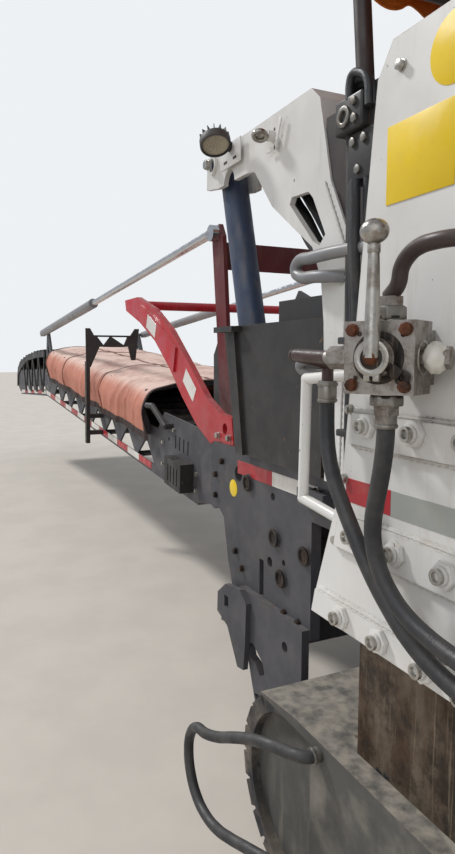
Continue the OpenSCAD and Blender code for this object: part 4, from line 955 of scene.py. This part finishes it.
class PLANER_OT_valve(bpy.types.Operator):
    """Dress the rotary valve: corner bolts, clamp hub, detent lug, pipe and the lever's knob"""
    bl_idname = "planer.valve"
    bl_label = "Rotary valve"

    def execute(self, context):
        turn = frame_of(on_valve)
        self.face(turn)
        self.unions(turn)
        self.knob(turn)
        return {"FINISHED"}

    def face(self, turn):
        """What sits on the valve's outer face: bolts, seat ring, detent and the clamp of the lever's foot."""
        def out(x, y, z):
            """A place on the valve whose z axis points away from the leg."""
            return turn @ facing((x, y, z), (0, 1, 0))

        corners = [out(x, 0.1352, z) @ Matrix.Rotation(x * 9, 4, "Z") for x in (-0.049, 0.049)
                   for z in (-0.049, 0.049)]
        settle(copies(hex_bolt(0.019, 0.009), corners), "valve_bolts", "rust")
        seat = put(ring_of(0.047, 0.0345, 0.003, 44, 0.0008), out(0, 0.135, 0) @ shift(0, 0, GAP))
        well = put(disc(0.0205, 0.0015, 36, 0.0004), out(0, 0.1672, 0))
        settle([seat, well], "valve_seat_rings", "dark_steel")
        # small holes of the face, the detent lug with its hole, and its arm
        holes = [put(disc(0.0045, 0.0008, 16, 0.0002), out(x, 0.1352, z))
                 for x, z in ((0.036, 0.042), (-0.044, 0.040), (0.042, -0.036))]
        lug = put(ring_of(0.0135, 0.0055, 0.009, 28, 0.001), out(-0.046, 0.1405, -0.034))
        arm = moved(block((0.034, 0.009, 0.022), bevel=0.003),
                    turn @ shift(-0.031, 0.1448, -0.021) @ spun(-37, "Y"))
        settle([lug, arm] + holes, "valve_detent", "dark_steel")
        hub_bolt = put(hex_bolt(0.021, 0.009), out(0, 0.1688, 0) @ Matrix.Rotation(0.3, 4, "Z"))
        settle(hub_bolt, "valve_hub_bolt", "rust")
        # clamp jaws of the lever's foot, with the slit between them
        jaws = [block((0.0125, 0.016, 0.020), bevel=0.003) for _ in range(2)]
        for jaw, x in zip(jaws, (-0.0085, 0.0085)):
            moved(jaw, turn @ shift(x, 0.159, -0.031))
        skirt = put(ring_of(0.0318, 0.0225, 0.004, 40, 0.001), out(0, 0.1660, 0))
        settle(jaws + [skirt], "lever_clamp", "nickel")

    def unions(self, turn):
        """What sits on the four unions: collars, the upper pipe, swivel nuts and wound sealing tape."""
        # collars between the unions and the block
        rims = [put(ring_of(0.031, 0.0262, 0.004, 32, 0.0008), turn @ facing(place, way, (0, 1, 0)))
                for place, way in (((0, 0.090, 0.0652), (0, 0, 1)), ((0, 0.090, -0.0652), (0, 0, -1)),
                                   ((0.0652, 0.090, 0), (1, 0, 0)), ((-0.0652, 0.090, 0), (-1, 0, 0)))]
        settle(rims, "valve_union_rims", "zinc")
        # steel pipe from the upper union, bent over to a flange on the leg
        bend = [at(*p) for p in ((2.214, 1.262, 1.724), (2.206, 1.262, 1.752), (2.186, 1.262, 1.772),
                                 (2.160, 1.262, 1.782), (2.130, 1.260, 1.785), (2.098, 1.250, 1.786),
                                 (2.076, 1.228, 1.786), (2.070, 1.200, 1.786),
                                 (2.070, SIDE_Y + 0.001, 1.786))]
        pipe = tube([on_valve(0, 0.090, 0.109)] + bend, 0.0145, 6)
        flange = put(disc(0.030, 0.010, 28, 0.002), on_side(2.070, 1, SIDE_Y + GAP, 1.786))
        settle([pipe, flange], "valve_top_pipe", "post_brown")
        # swivel nuts over the unions, each with a dark sealing ring under it
        nuts, seals = [], []
        for z, way, across, tall in ((0.079, 1, 0.060, 0.026), (-0.078, -1, 0.054, 0.020)):
            m = turn @ facing((0, 0.090, z), (0, 0, way), (0, 1, 0))
            nuts.append(put(hexagon(across, tall, 0.003), m @ spun(13, "Z")))
            seals.append(put(disc(across * 0.52, 0.005, 32, 0.0014), m @ shift(0, 0, -0.007)))
        settle(nuts, "valve_nuts", "crimp")
        settle(seals, "valve_seals", "dark_steel")
        # sealing tape wound in lumps over the rear union
        wrap = ball(0.0285, 36, 24)
        for v in wrap.data.vertices:
            v.co *= 1 + 0.10 * noise.noise(v.co * 90) + 0.04 * noise.noise(v.co * 260)
            v.co.z *= 0.8
        put(wrap, turn @ facing((-0.088, 0.090, 0), (-1, 0, 0), (0, 1, 0)))
        settle(wrap, "union_wrap", "tie", 60)

    def knob(self, turn):
        """The long knob on the lever's end."""
        knob = ball(0.0215, 32, 20)
        knob.scale = (1.18, 0.98, 1.0)
        bpy.ops.object.transform_apply(scale=True)
        put(knob, turn @ shift(0, 0.166, 0.212))
        neck = put(disc(0.0112, 0.016, 24, 0.002), turn @ shift(0, 0.166, 0.184))
        settle([knob, neck], "lever_knob", "nickel", 60)


# the radius and route of the upper and lower rail beside the front leg
SIDE_RAILS = (
    (0.019, ((2.600, 0.990, 1.870), (2.700, 0.960, 1.883), (2.980, 0.960, 1.890), (3.055, 0.960, 1.884),
             (3.066, 0.960, 1.862), (3.040, 0.960, 1.842), (2.950, 0.960, 1.832), (2.890, 0.935, 1.828),
             (2.870, 0.912, 1.826))),
    (0.016, ((2.790, 0.940, 1.588), (2.900, 0.955, 1.588), (2.985, 0.960, 1.585), (3.030, 0.958, 1.576),
             (3.044, 0.952, 1.560), (3.030, 0.942, 1.546), (3.000, 0.925, 1.540), (2.992, 0.908, 1.540))))


class PLANER_OT_front(bpy.types.Operator):
    """Dress the front plates: plugs, bolts, tape and the rails beside them"""
    bl_idname = "planer.front"
    bl_label = "Front plates"

    def execute(self, context):
        plugs, bolts = [], []
        for side in SIDES:
            for x, z in ((3.376, 0.909), (3.322, 0.766), (3.160, 0.900), (3.600, 1.080)):
                plugs.append(on_side(x, side, PLUG_Y, z))
            for x, z in ((3.20, 0.640), (3.30, 0.640), (3.66, 0.700), (3.72, 0.760), (3.86, 1.130),
                         (3.93, 0.965), (3.93, 1.060), (3.06, 1.140), (3.10, 1.140)):
                bolts.append(on_side(x, side, CHEEK_Y + GAP, z))
        settle(copies(ring_of(0.034, 0.024, 0.006), plugs), "cheek_plug_rings", "dark_steel")
        settle(copies(hex_bolt(0.024, 0.012), bolts), "cheek_bolts", "dark_steel")
        films = {"tape_red": [], "tape_white": []}
        for side in SIDES:
            # marking tape along the plate's upper edge
            for look, a, b in (("tape_white", 3.090, 3.405), ("tape_red", 3.406, 3.705)):
                films[look].append(strip(b - a, 0.056, at((a + b) / 2, side * (CHEEK_Y + FILM_OUT), 1.131)))
        settle_films("cheek_", films)
        rails, feet = [], []
        for side in SIDES:
            for radius, route in SIDE_RAILS:
                rails.append(line_through([(x, side * y, z) for x, y, z in route], radius, 5))
            feet.append(block((0.060, 0.040, 0.060), at(2.868, side * 0.895, 1.826), 0.004))
        settle(rails, "side_rails", "barrel_grey", 60)
        settle(feet, "side_rail_feet", "frame_grey")
        return {"FINISHED"}


class PLANER_OT_gallows(bpy.types.Operator):
    """Dress the gallows: pin caps, weld beads, eyelets and their flat brackets"""
    bl_idname = "planer.gallows"
    bl_label = "Gallows"

    def execute(self, context):
        caps, beads, flats, dots, eyes = [], [], [], [], []
        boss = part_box("gallows")[1][1]
        outer = boss - 0.012
        for side in SIDES:
            y = side * (outer + GAP)
            caps.append(on_side(3.800, side, boss + GAP, 2.372))
            beads.append([at(x + 0.004, side * (outer + 0.002), z)
                          for x, z in ((2.850, 1.230), (2.832, 1.890), (2.948, 2.108))])
            flats.append(moved(block((0.016, 0.004, 0.100), bevel=0.001),
                               Matrix.Translation(at(3.240, y + side * 0.002, 2.330)) @ spun(-22, "Y")))
            flats.append(block((0.060, 0.004, 0.014), at(3.284, y + side * 0.002, 2.291), 0.001))
            dots.append(put(disc(0.0055, 0.001, 16, 0.0003),
                            facing(at(3.266, y + side * GAP, 2.352), (0, side, 0))))
            # plate under the lamp, with two slots
            flats.append(block((0.176, 0.005, 0.088), at(3.606, y + side * 0.0025, 2.362), 0.0015))
            for dx in (-0.041, 0.041):
                dots.append(block((0.030, 0.0012, 0.010), at(3.606 + dx, y + side * 0.0056, 2.341),
                                  0.0005, 1))
            eyes.append(put(ring_of(0.029, 0.015, 0.014, 32, 0.005),
                            facing(at(3.300, side * (boss + 0.0255), 2.336), (-0.35, side * 0.25, -0.90))))
        settle(copies(hex_bolt(0.036, 0.014), caps), "lift_pin_caps", "zinc")
        settle(flats, "gallows_brackets", "white_paint")
        settle(dots, "gallows_slots", "dark_steel")
        settle(eyes, "gallows_eyelets", "nickel")
        settle([tube(p, 0.004, 2, 0.010) for p in beads], "gallows_weld_beads", "bead")
        return {"FINISHED"}


def lamp_shell():
    """A dished shell facing up z, its lens opening at z = 0, with cooling fins round its back."""
    shell = disc(0.058, 0.030, 48, 0.003, (0, 0, -0.030))
    bpy.ops.object.mode_set(mode="EDIT")
    faces_where(lambda c, n: n.z > 0.9)
    bpy.ops.mesh.inset(thickness=0.007)
    bpy.ops.mesh.extrude_region_move(TRANSFORM_OT_translate={"value": (0, 0, -0.007)})
    faces_where(lambda c, n: n.z < -0.9)
    bpy.ops.mesh.extrude_region_move(TRANSFORM_OT_translate={"value": (0, 0, -0.022)})
    bpy.ops.transform.resize(value=(0.62, 0.62, 1), center_override=(0, 0, -0.052))
    bpy.ops.object.mode_set(mode="OBJECT")
    fins = [moved(block((0.020, 0.003, 0.020), bevel=0.0006, segments=1),
                  Matrix.Rotation(2 * math.pi * k / 14, 4, "Z") @ shift(0.046, 0, -0.041)) for k in range(14)]
    return [shell] + fins


def lamp_cells():
    """The lens as rings of small hexagons on a thin plate."""
    cells = []
    for ring, count in ((0.0, 1), (0.0110, 6), (0.0218, 12), (0.0325, 18), (0.0430, 24)):
        for k in range(count):
            a = 2 * math.pi * (k + 0.5 * (count > 6)) / count
            cells.append(put(disc(0.0061, 0.0035, 6, 0.0012),
                             shift(ring * math.cos(a), ring * math.sin(a), -0.0068)))
    return cells + [disc(0.0500, 0.001, 40, 0.0, (0, 0, -0.0069))]


class PLANER_OT_lamps(bpy.types.Operator):
    """Round work lamps on brackets at the gallows' tips, turned back along the sides"""
    bl_idname = "planer.lamps"
    bl_label = "Work lamps"

    def execute(self, context):
        shells, lenses, brackets = [], [], []
        for side in SIDES:
            # the lamp's axis looks down and back along the machine's side
            face = facing(at(3.552, side * 1.018, 2.367), Vector((-0.47, side * 0.09, -0.88)).normalized())
            shell, cells = lamp_shell(), lamp_cells()
            shell, lens = joined(shell), joined(cells)
            shells.append(moved(shell, face))
            lenses.append(moved(lens, face))
            # bail from the back of the lamp to the gallows, and its pivot bolt
            back = face @ Vector((0, 0, -0.045))
            brackets.append(tube([back, back + Vector((0.014, -side * 0.016, 0.006)),
                                  at(3.606, side * 0.962, 2.396), at(3.606, side * 0.942, 2.392)], 0.0095, 4))
            brackets.append(put(disc(0.022, 0.012, 6, 0.002), on_side(3.606, side, 0.9405, 2.392)))
        shells = settle(shells, "lamp_shells", "black_plastic")
        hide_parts("work_lamps")
        settle(lenses, "lamp_lenses", "lens")
        settle(brackets, "lamp_brackets", "dark_steel")
        return {"FINISHED"}


class PLANER_OT_hydraulics(bpy.types.Operator):
    """Fasten the hydraulic block and its lines behind the gallows"""
    bl_idname = "planer.hydraulics"
    bl_label = "Hydraulic lines"

    def execute(self, context):
        blocks, fittings, lines = [], [], []
        for side in SIDES:
            # stacked blocks with a ring port on the post's foot
            for size, (x, y, z) in (((0.120, 0.066, 0.090), (2.770, 0.952, 2.232)),
                                    ((0.110, 0.050, 0.130), (2.735, 0.944, 2.120)),
                                    ((0.080, 0.040, 0.110), (2.700, 0.940, 2.240))):
                blocks.append(block(size, at(x, side * y, z), 0.007, 3))
            fittings.append(put(ring_of(0.028, 0.015, 0.014, 32, 0.003), on_side(2.785, side, 0.9852, 2.228)))
            for x, y, z in ((2.742, 0.985, 2.256), (2.738, 0.985, 2.212), (2.716, 0.969, 2.160),
                            (2.764, 0.969, 2.160), (2.740, 0.969, 2.086)):
                fittings.append(put(disc(0.013, 0.015, 6, 0.002), on_side(x, side, y + GAP, z)))
            for n, (x, z, y) in enumerate(((2.800, 2.192, 0.950), (2.775, 2.060, 0.962),
                                           (2.745, 2.060, 0.975), (2.712, 2.060, 0.958))):
                end = 2.790 - n * 0.032
                route = ((x, y, z), (x - 0.002, y, z - 0.06), (x - 0.006, y, z - 0.20),
                         (end + 0.006, y - 0.004, 1.740), (end, y - 0.006, 1.560),
                         (end + 0.004, y - 0.008, 1.400), (end, y - 0.008, 1.262))
                lines.append(line_through([(a, side * b, c) for a, b, c in route],
                                          0.0125 if n % 2 else 0.0145))
            # short lines bent over the block's top
            for n in range(4):
                x, y, z = 2.806 - n * 0.010, side * (0.930 + n * 0.015), 2.262 + n * 0.011
                route = ((x, 2.270), (x, z + 0.016), (2.784 - n * 0.006, z + 0.034), (2.736, z + 0.030),
                         (2.704, z + 0.006), (2.692, 2.230))
                lines.append(line_through([(a, y, c) for a, c in route], 0.0115))
            # bundle seen through the gallows' window
            for n, (dx, y) in enumerate(((-0.062, 0.806), (-0.034, 0.836), (-0.004, 0.806), (0.024, 0.842),
                                         (0.050, 0.812), (0.076, 0.838))):
                route = ((3.330 + dx / 2, 2.215), (3.268 + dx, 2.150), (3.190 + dx, 2.070),
                         (3.110 + dx, 1.975), (3.010 + dx / 2, 1.865), (2.935 + dx / 3, 1.730),
                         (2.912 + dx / 3, 1.500), (2.906 + dx / 3, 1.240))
                lines.append(line_through([(a, y * side, c) for a, c in route], 0.013 if n % 2 else 0.0155))
            for z in (1.640, 1.380):
                blocks.append(block((0.150, 0.036, 0.020), at(2.745, side * 0.952, z), 0.004))
        settle(blocks, "hydraulic_blocks", "box_black")
        settle(fittings, "hydraulic_fittings", "crimp")
        settle(lines, "hydraulic_lines", "hose_rubber", 60)
        return {"FINISHED"}


def cushion(size, place, crown):
    """A crowned cushion whose sides draw in between its corners, with a piped seam round its top."""
    nothing_selected()
    bpy.ops.mesh.primitive_cube_add(size=1)
    piece = bpy.context.object
    piece.scale = [s - 0.012 for s in size]
    bpy.ops.object.transform_apply(scale=True)
    bpy.ops.object.mode_set(mode="EDIT")
    bpy.ops.mesh.select_all(action="SELECT")
    bpy.ops.mesh.bevel(offset=0.024, segments=3, affect="EDGES")
    bpy.ops.mesh.select_all(action="SELECT")
    bpy.ops.mesh.subdivide(number_cuts=7)
    bpy.ops.object.mode_set(mode="OBJECT")
    a, b, h = (s / 2 for s in size)
    for v in piece.data.vertices:
        x, y, z = v.co
        u, w = min(abs(x / a), 1), min(abs(y / b), 1)
        if z > 0:
            v.co.z += crown * (1 - u ** 2) * (1 - w ** 2) * z / h - 0.006
            # two sewn channels across the pad
            for seam in (-0.28, 0.28):
                v.co.z -= 0.007 * math.exp(-((y / b - seam) / 0.05) ** 2) * z / h
        pull = 0.010 * (1 - abs(z) / h)
        v.co.x -= math.copysign(pull * (1 - w ** 2) * (u > 0.8), x)
        v.co.y -= math.copysign(pull * (1 - u ** 2) * (w > 0.8), y)
    change = piece.modifiers.new("soft", "SUBSURF")
    change.levels = change.render_levels = 1
    only(piece)
    bpy.ops.object.modifier_apply(modifier="soft")
    rim = []
    for k in range(48):
        c, s = math.cos(2 * math.pi * k / 48), math.sin(2 * math.pi * k / 48)
        rim.append((math.copysign(abs(c) ** 0.28, c) * (a - 0.011),
                    math.copysign(abs(s) ** 0.28, s) * (b - 0.011), h * 0.56))
    piping = tube(rim + [rim[0]], 0.0045, 3)
    return moved(piece, place), moved(piping, place)


class PLANER_OT_platform(bpy.types.Operator):
    """Upholster the seats and fit the levers and blank display of each control desk"""
    bl_idname = "planer.platform"
    bl_label = "Operator platform"

    def execute(self, context):
        self.seats()
        self.desks()
        return {"FINISHED"}

    def seats(self):
        """Cushions and backs on a pedestal, a swivel plate and a bracket of two tubes."""
        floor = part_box("seats")[0][2]
        pads, backs, pipings, metal = [], [], [], []
        for side in SIDES:
            y = side * 0.630
            for made, size, x, z, crown, lean in ((pads, (0.470, 0.450, 0.098), 1.240, 0.452, 0.020, 0),
                                                  (backs, (0.440, 0.410, 0.088), 1.012, 0.735, 0.016, 81)):
                pad, piping = cushion(size, Matrix.Translation(at(x, y, floor + z)) @ spun(lean, "Y"), crown)
                made.append(pad)
                pipings.append(piping)
            foot, stem = disc(0.120, 0.012, 40, 0.003), disc(0.068, 0.352, 40, 0.004)
            foot.location = at(1.250, side * 0.620, floor + GAP)
            stem.location = at(1.250, side * 0.620, floor + 0.012)
            metal += [foot, stem, block((0.380, 0.380, 0.034), at(1.240, y, floor + 0.382), 0.006)]
            for dy in (-0.150, 0.150):
                metal.append(line_through([(x, y + dy, floor + z) for x, z in (
                    (1.060, 0.385), (0.985, 0.400), (0.962, 0.470), (0.945, 0.800))], 0.014))
        pads = settle(pads, "seat_cushions", "seat_vinyl", 70)
        backs = settle(backs, "seat_backs", "seat_vinyl", 70)
        settle(pipings, "seat_piping", "black_plastic", 60)
        frames = settle(metal, "seat_pedestals", "dark_steel")
        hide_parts("seats")

    def desks(self):
        """On each desk a blank display in its bezel, two levers in rubber boots and rows of plain keys."""
        boots, levers, bezels, displays = [], [], [], []
        for side in SIDES:
            # the desk's top slopes from (2.120, 2.480) up to (2.480, 2.600)
            lie = Matrix.Translation(at(2.120, side * 0.580, 2.480)) @ Matrix.Rotation(
                -math.atan2(0.120, 0.360), 4, "Y")
            bezel = block((0.150, 0.200, 0.012), (0.290, 0, 0.0062), 0.004)
            display = block((0.118, 0.168, 0.002), (0.290, 0, 0.0132), 0.0008)
            bezels.append(moved(bezel, lie))
            displays.append(moved(display, lie))
            for v in (-0.100, 0.100):
                boots.append(put(ring_of(0.036, 0.022, 0.014, 32, 0.003), lie @ shift(0.080, v, GAP)))
                boots.append(put(disc(0.024, 0.030, 24, 0.006), lie @ shift(0.080, v, 0.002)))
                levers.append(tube([lie @ Vector(p) for p in ((0.080, v, 0.020), (0.078, v, 0.060),
                                                              (0.074, v, 0.100))], 0.006, 3))
                levers.append(put(ball(0.019, 24, 16), lie @ shift(0.073, v, 0.115)))
            for row in range(3):
                for n in range(4):
                    spot = (0.150 + 0.026 * row, -0.060 + 0.040 * n, 0.0032)
                    boots.append(moved(block((0.018, 0.022, 0.006), spot), lie))
        settle(bezels, "desk_bezels", "black_plastic")
        settle(displays, "desk_displays", "lens")
        settle(boots, "desk_keys", "seat_vinyl")
        settle(levers, "desk_levers", "black_plastic", 60)


class PLANER_OT_guard(bpy.types.Operator):
    """Put the reflective patches and bolts on the red guard"""
    bl_idname = "planer.guard"
    bl_label = "Red guard"

    def execute(self, context):
        patches, bolts = [], []
        arm, doubler = 0.8442, 0.8542
        for side in SIDES:
            for x, y, z, tilt in ((4.270, arm, 1.452, 36), (4.830, doubler, 1.765, 24)):
                place = Matrix.Translation(at(x, side * (y + 0.0004), z)) @ spun(-tilt, "Y")
                patches.append(moved(strip(0.165, 0.080), place))
            for x in (3.800, 3.915):
                bolts.append(on_side(x, side, arm, 1.240))
        settle(patches, "guard_patches", "tape_white", None)
        settle(copies(hex_bolt(0.024, 0.014), bolts), "guard_bolts", "zinc")
        return {"FINISHED"}


class PLANER_OT_conveyor(bpy.types.Operator):
    """Dress the discharge conveyor: tape and bolts along its sides"""
    bl_idname = "planer.conveyor"
    bl_label = "Discharge conveyor"

    def execute(self, context):
        main, head = frame_of(luffed), frame_of(headed)
        films = {"tape_red": [], "tape_white": []}
        looks = list(films)
        for side in SIDES:
            # red and white by turns, and the other way round on the head section
            for lie, first, count, swap, wide, w in ((main, 1.10, 14, 0, 0.050, -0.205),
                                                     (head, 0.12, 7, 1, 0.045, -0.200)):
                for n in range(count):
                    film = strip(0.285, wide, (first + n * 0.290 + 0.145, side * (BEAM_V + FILM_OUT), w))
                    films[looks[(n + swap) % 2]].append(moved(film, lie))
        settle_films("conveyor_", films, "discharge")
        bolts = []
        for side in SIDES:
            for s, w in ((0.28, -0.160), (0.28, -0.060), (0.66, -0.120), (0.66, 0.140), (0.86, 0.020),
                         (0.86, -0.130), (4.92, 0.040), (5.02, 0.040), (4.92, -0.120), (5.02, -0.120)):
                bolts.append(main @ facing((s, side * (BEAM_V + GAP), w), (0, side, 0)))
        settle(copies(hex_bolt(0.024, 0.013), bolts), "conveyor_bolts", "zinc", body="discharge")
        return {"FINISHED"}


class PLANER_OT_body(bpy.types.Operator):
    """Dress the rear: door seams, latches, hub bolts and side plate bolts"""
    bl_idname = "planer.body"
    bl_label = "Rear body"

    def execute(self, context):
        latches, seams = [], []
        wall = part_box("engine_hood")[1][1]
        for side in SIDES:
            y = side * (wall + GAP)
            for x in (-2.95, -2.35, -1.75):
                latches.append(block((0.060, 0.006, 0.110), at(x, y + side * 0.003, 1.80), 0.002))
                latches.append(line_through([(x, y + side * out, z) for out, z in (
                    (0.006, 1.835), (0.022, 1.825), (0.022, 1.775), (0.006, 1.765))], 0.005, 3))
            for x in (-2.65, -2.05):
                seams.append(block((0.008, 0.004, 0.620), at(x, y + side * 0.001, 2.02), 0.001))
            seams.append(block((1.35, 0.004, 0.008), at(-2.33, y + side * 0.001, 1.700), 0.001))
        settle(latches, "hood_latches", "black_plastic", body="hood")
        settle(seams, "hood_seams", "black_plastic", body="hood")
        hub = []
        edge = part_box("side_plates")[1][1] + GAP
        for side in SIDES:
            hub += [on_side(x, side, edge, 0.62) for x in (-0.70, -0.35, 0.35, 0.70)]
            hub += [on_side(0.17 * math.cos(a), side, edge, 0.62 + 0.17 * math.sin(a))
                    for a in (2 * math.pi * k / 10 for k in range(10))]
        settle(copies(hex_bolt(0.030, 0.018), hub), "side_plate_bolts", "zinc")
        return {"FINISHED"}


class PLANER_OT_stage(bpy.types.Operator):
    """Set the floor, the light and the camera"""
    bl_idname = "planer.stage"
    bl_label = "Stage"

    def execute(self, context):
        scene = context.scene
        look = scene.planer_stage
        # plain pale floor: rolled concrete with a trace of grain
        material, tree, place = start("pale_floor")
        shade = tuple(0.93 * c for c in look.floor) + (1.0,)
        tone = coat(tree, (*look.floor, 1.0), shade, cloud(tree, place, 2.5, 6))
        feed(tree, tree.nodes["Principled BSDF"], {"Base Color": tone, "Roughness": 0.9})
        nothing_selected()
        bpy.ops.mesh.primitive_plane_add(size=120, location=(0, 0, -0.001))
        floor = bpy.context.object
        floor.name = "floor"
        floor.data.materials.append(material)
        # the sky is pale to the camera and dimmer to the object
        world = bpy.data.worlds.new("pale_sky")
        world.use_nodes = True
        tree = world.node_tree
        path = add(tree, "ShaderNodeLightPath").outputs
        seen = add(tree, "ShaderNodeMath", {0: path["Is Camera Ray"], 1: path["Is Transmission Ray"]},
                   operation="MAXIMUM").outputs[0]
        strength = add(tree, "ShaderNodeMapRange", {"Value": seen, "To Min": 0.62, "To Max": 1.0})
        feed(tree, tree.nodes["Background"],
             {"Color": coat(tree, "#dfe6f0", "#eef1f4", seen), "Strength": strength.outputs["Result"]})
        scene.world = world
        for name, energy, spread, way in (("key", look.sun, 7, (48, 0, 118)),
                                          ("fill", 0.7, 60, (62, 0, 215))):
            lamp = bpy.data.lights.new(name, "SUN")
            lamp.energy = energy
            lamp.angle = math.radians(spread)
            holder = bpy.data.objects.new(name, lamp)
            holder.rotation_euler = [math.radians(a) for a in way]
            context.collection.objects.link(holder)
        # the photograph's camera, held at eye height beside the left front leg
        view = bpy.data.cameras.new("camera")
        view.sensor_fit = "VERTICAL"
        view.sensor_height = 24
        view.lens = 640 / 854 * 24       # 640 pixels of focal length in a picture 854 high
        view.clip_start = 0.05
        view.clip_end = 300
        camera = bpy.data.objects.new("camera", view)
        camera.location = at(1.30, 2.02, 1.6)
        camera.rotation_euler = (math.radians(83.58), 0, math.radians(-115))
        context.collection.objects.link(camera)
        scene.camera = camera
        scene.view_settings.view_transform = "Standard"
        return {"FINISHED"}


class PLANER_PT_panel(bpy.types.Panel):
    """Everything the planer's dressing is made of"""
    bl_idname = "PLANER_PT_panel"
    bl_label = "Cold planer"
    bl_space_type = "VIEW_3D"
    bl_region_type = "UI"
    bl_category = "Planer"

    def draw(self, context):
        layout = self.layout
        for settings in ("planer_colours", "planer_sizes", "planer_stage"):
            group = getattr(context.scene, settings)
            for name in group.__annotations__:
                layout.prop(group, name)
        for step in STEPS:
            layout.operator("planer." + step)


STEPS = ("finishes", "stage", "hoses", "canvas", "roof", "legs", "signs", "valve", "front", "gallows",
         "lamps", "hydraulics", "guard", "conveyor", "platform", "body")
CLASSES = (PlanerColours, PlanerSizes, PlanerStage, PLANER_OT_finishes, PLANER_OT_stage, PLANER_OT_hoses,
           PLANER_OT_canvas, PLANER_OT_roof, PLANER_OT_legs, PLANER_OT_signs, PLANER_OT_valve,
           PLANER_OT_front, PLANER_OT_gallows, PLANER_OT_lamps, PLANER_OT_hydraulics, PLANER_OT_guard,
           PLANER_OT_conveyor, PLANER_OT_platform, PLANER_OT_body, PLANER_PT_panel)
GROUPS = (("planer_colours", PlanerColours), ("planer_sizes", PlanerSizes), ("planer_stage", PlanerStage))


def register():
    for cls in CLASSES:
        bpy.utils.register_class(cls)
    for name, group in GROUPS:
        setattr(bpy.types.Scene, name, PointerProperty(type=group))


def unregister():
    for name, _group in GROUPS:
        delattr(bpy.types.Scene, name)
    for cls in reversed(CLASSES):
        bpy.utils.unregister_class(cls)


def main():
    register()
    for step in STEPS:
        getattr(bpy.ops.planer, step)()
    nothing_selected()
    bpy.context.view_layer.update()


if __name__ == "__main__":
    main()
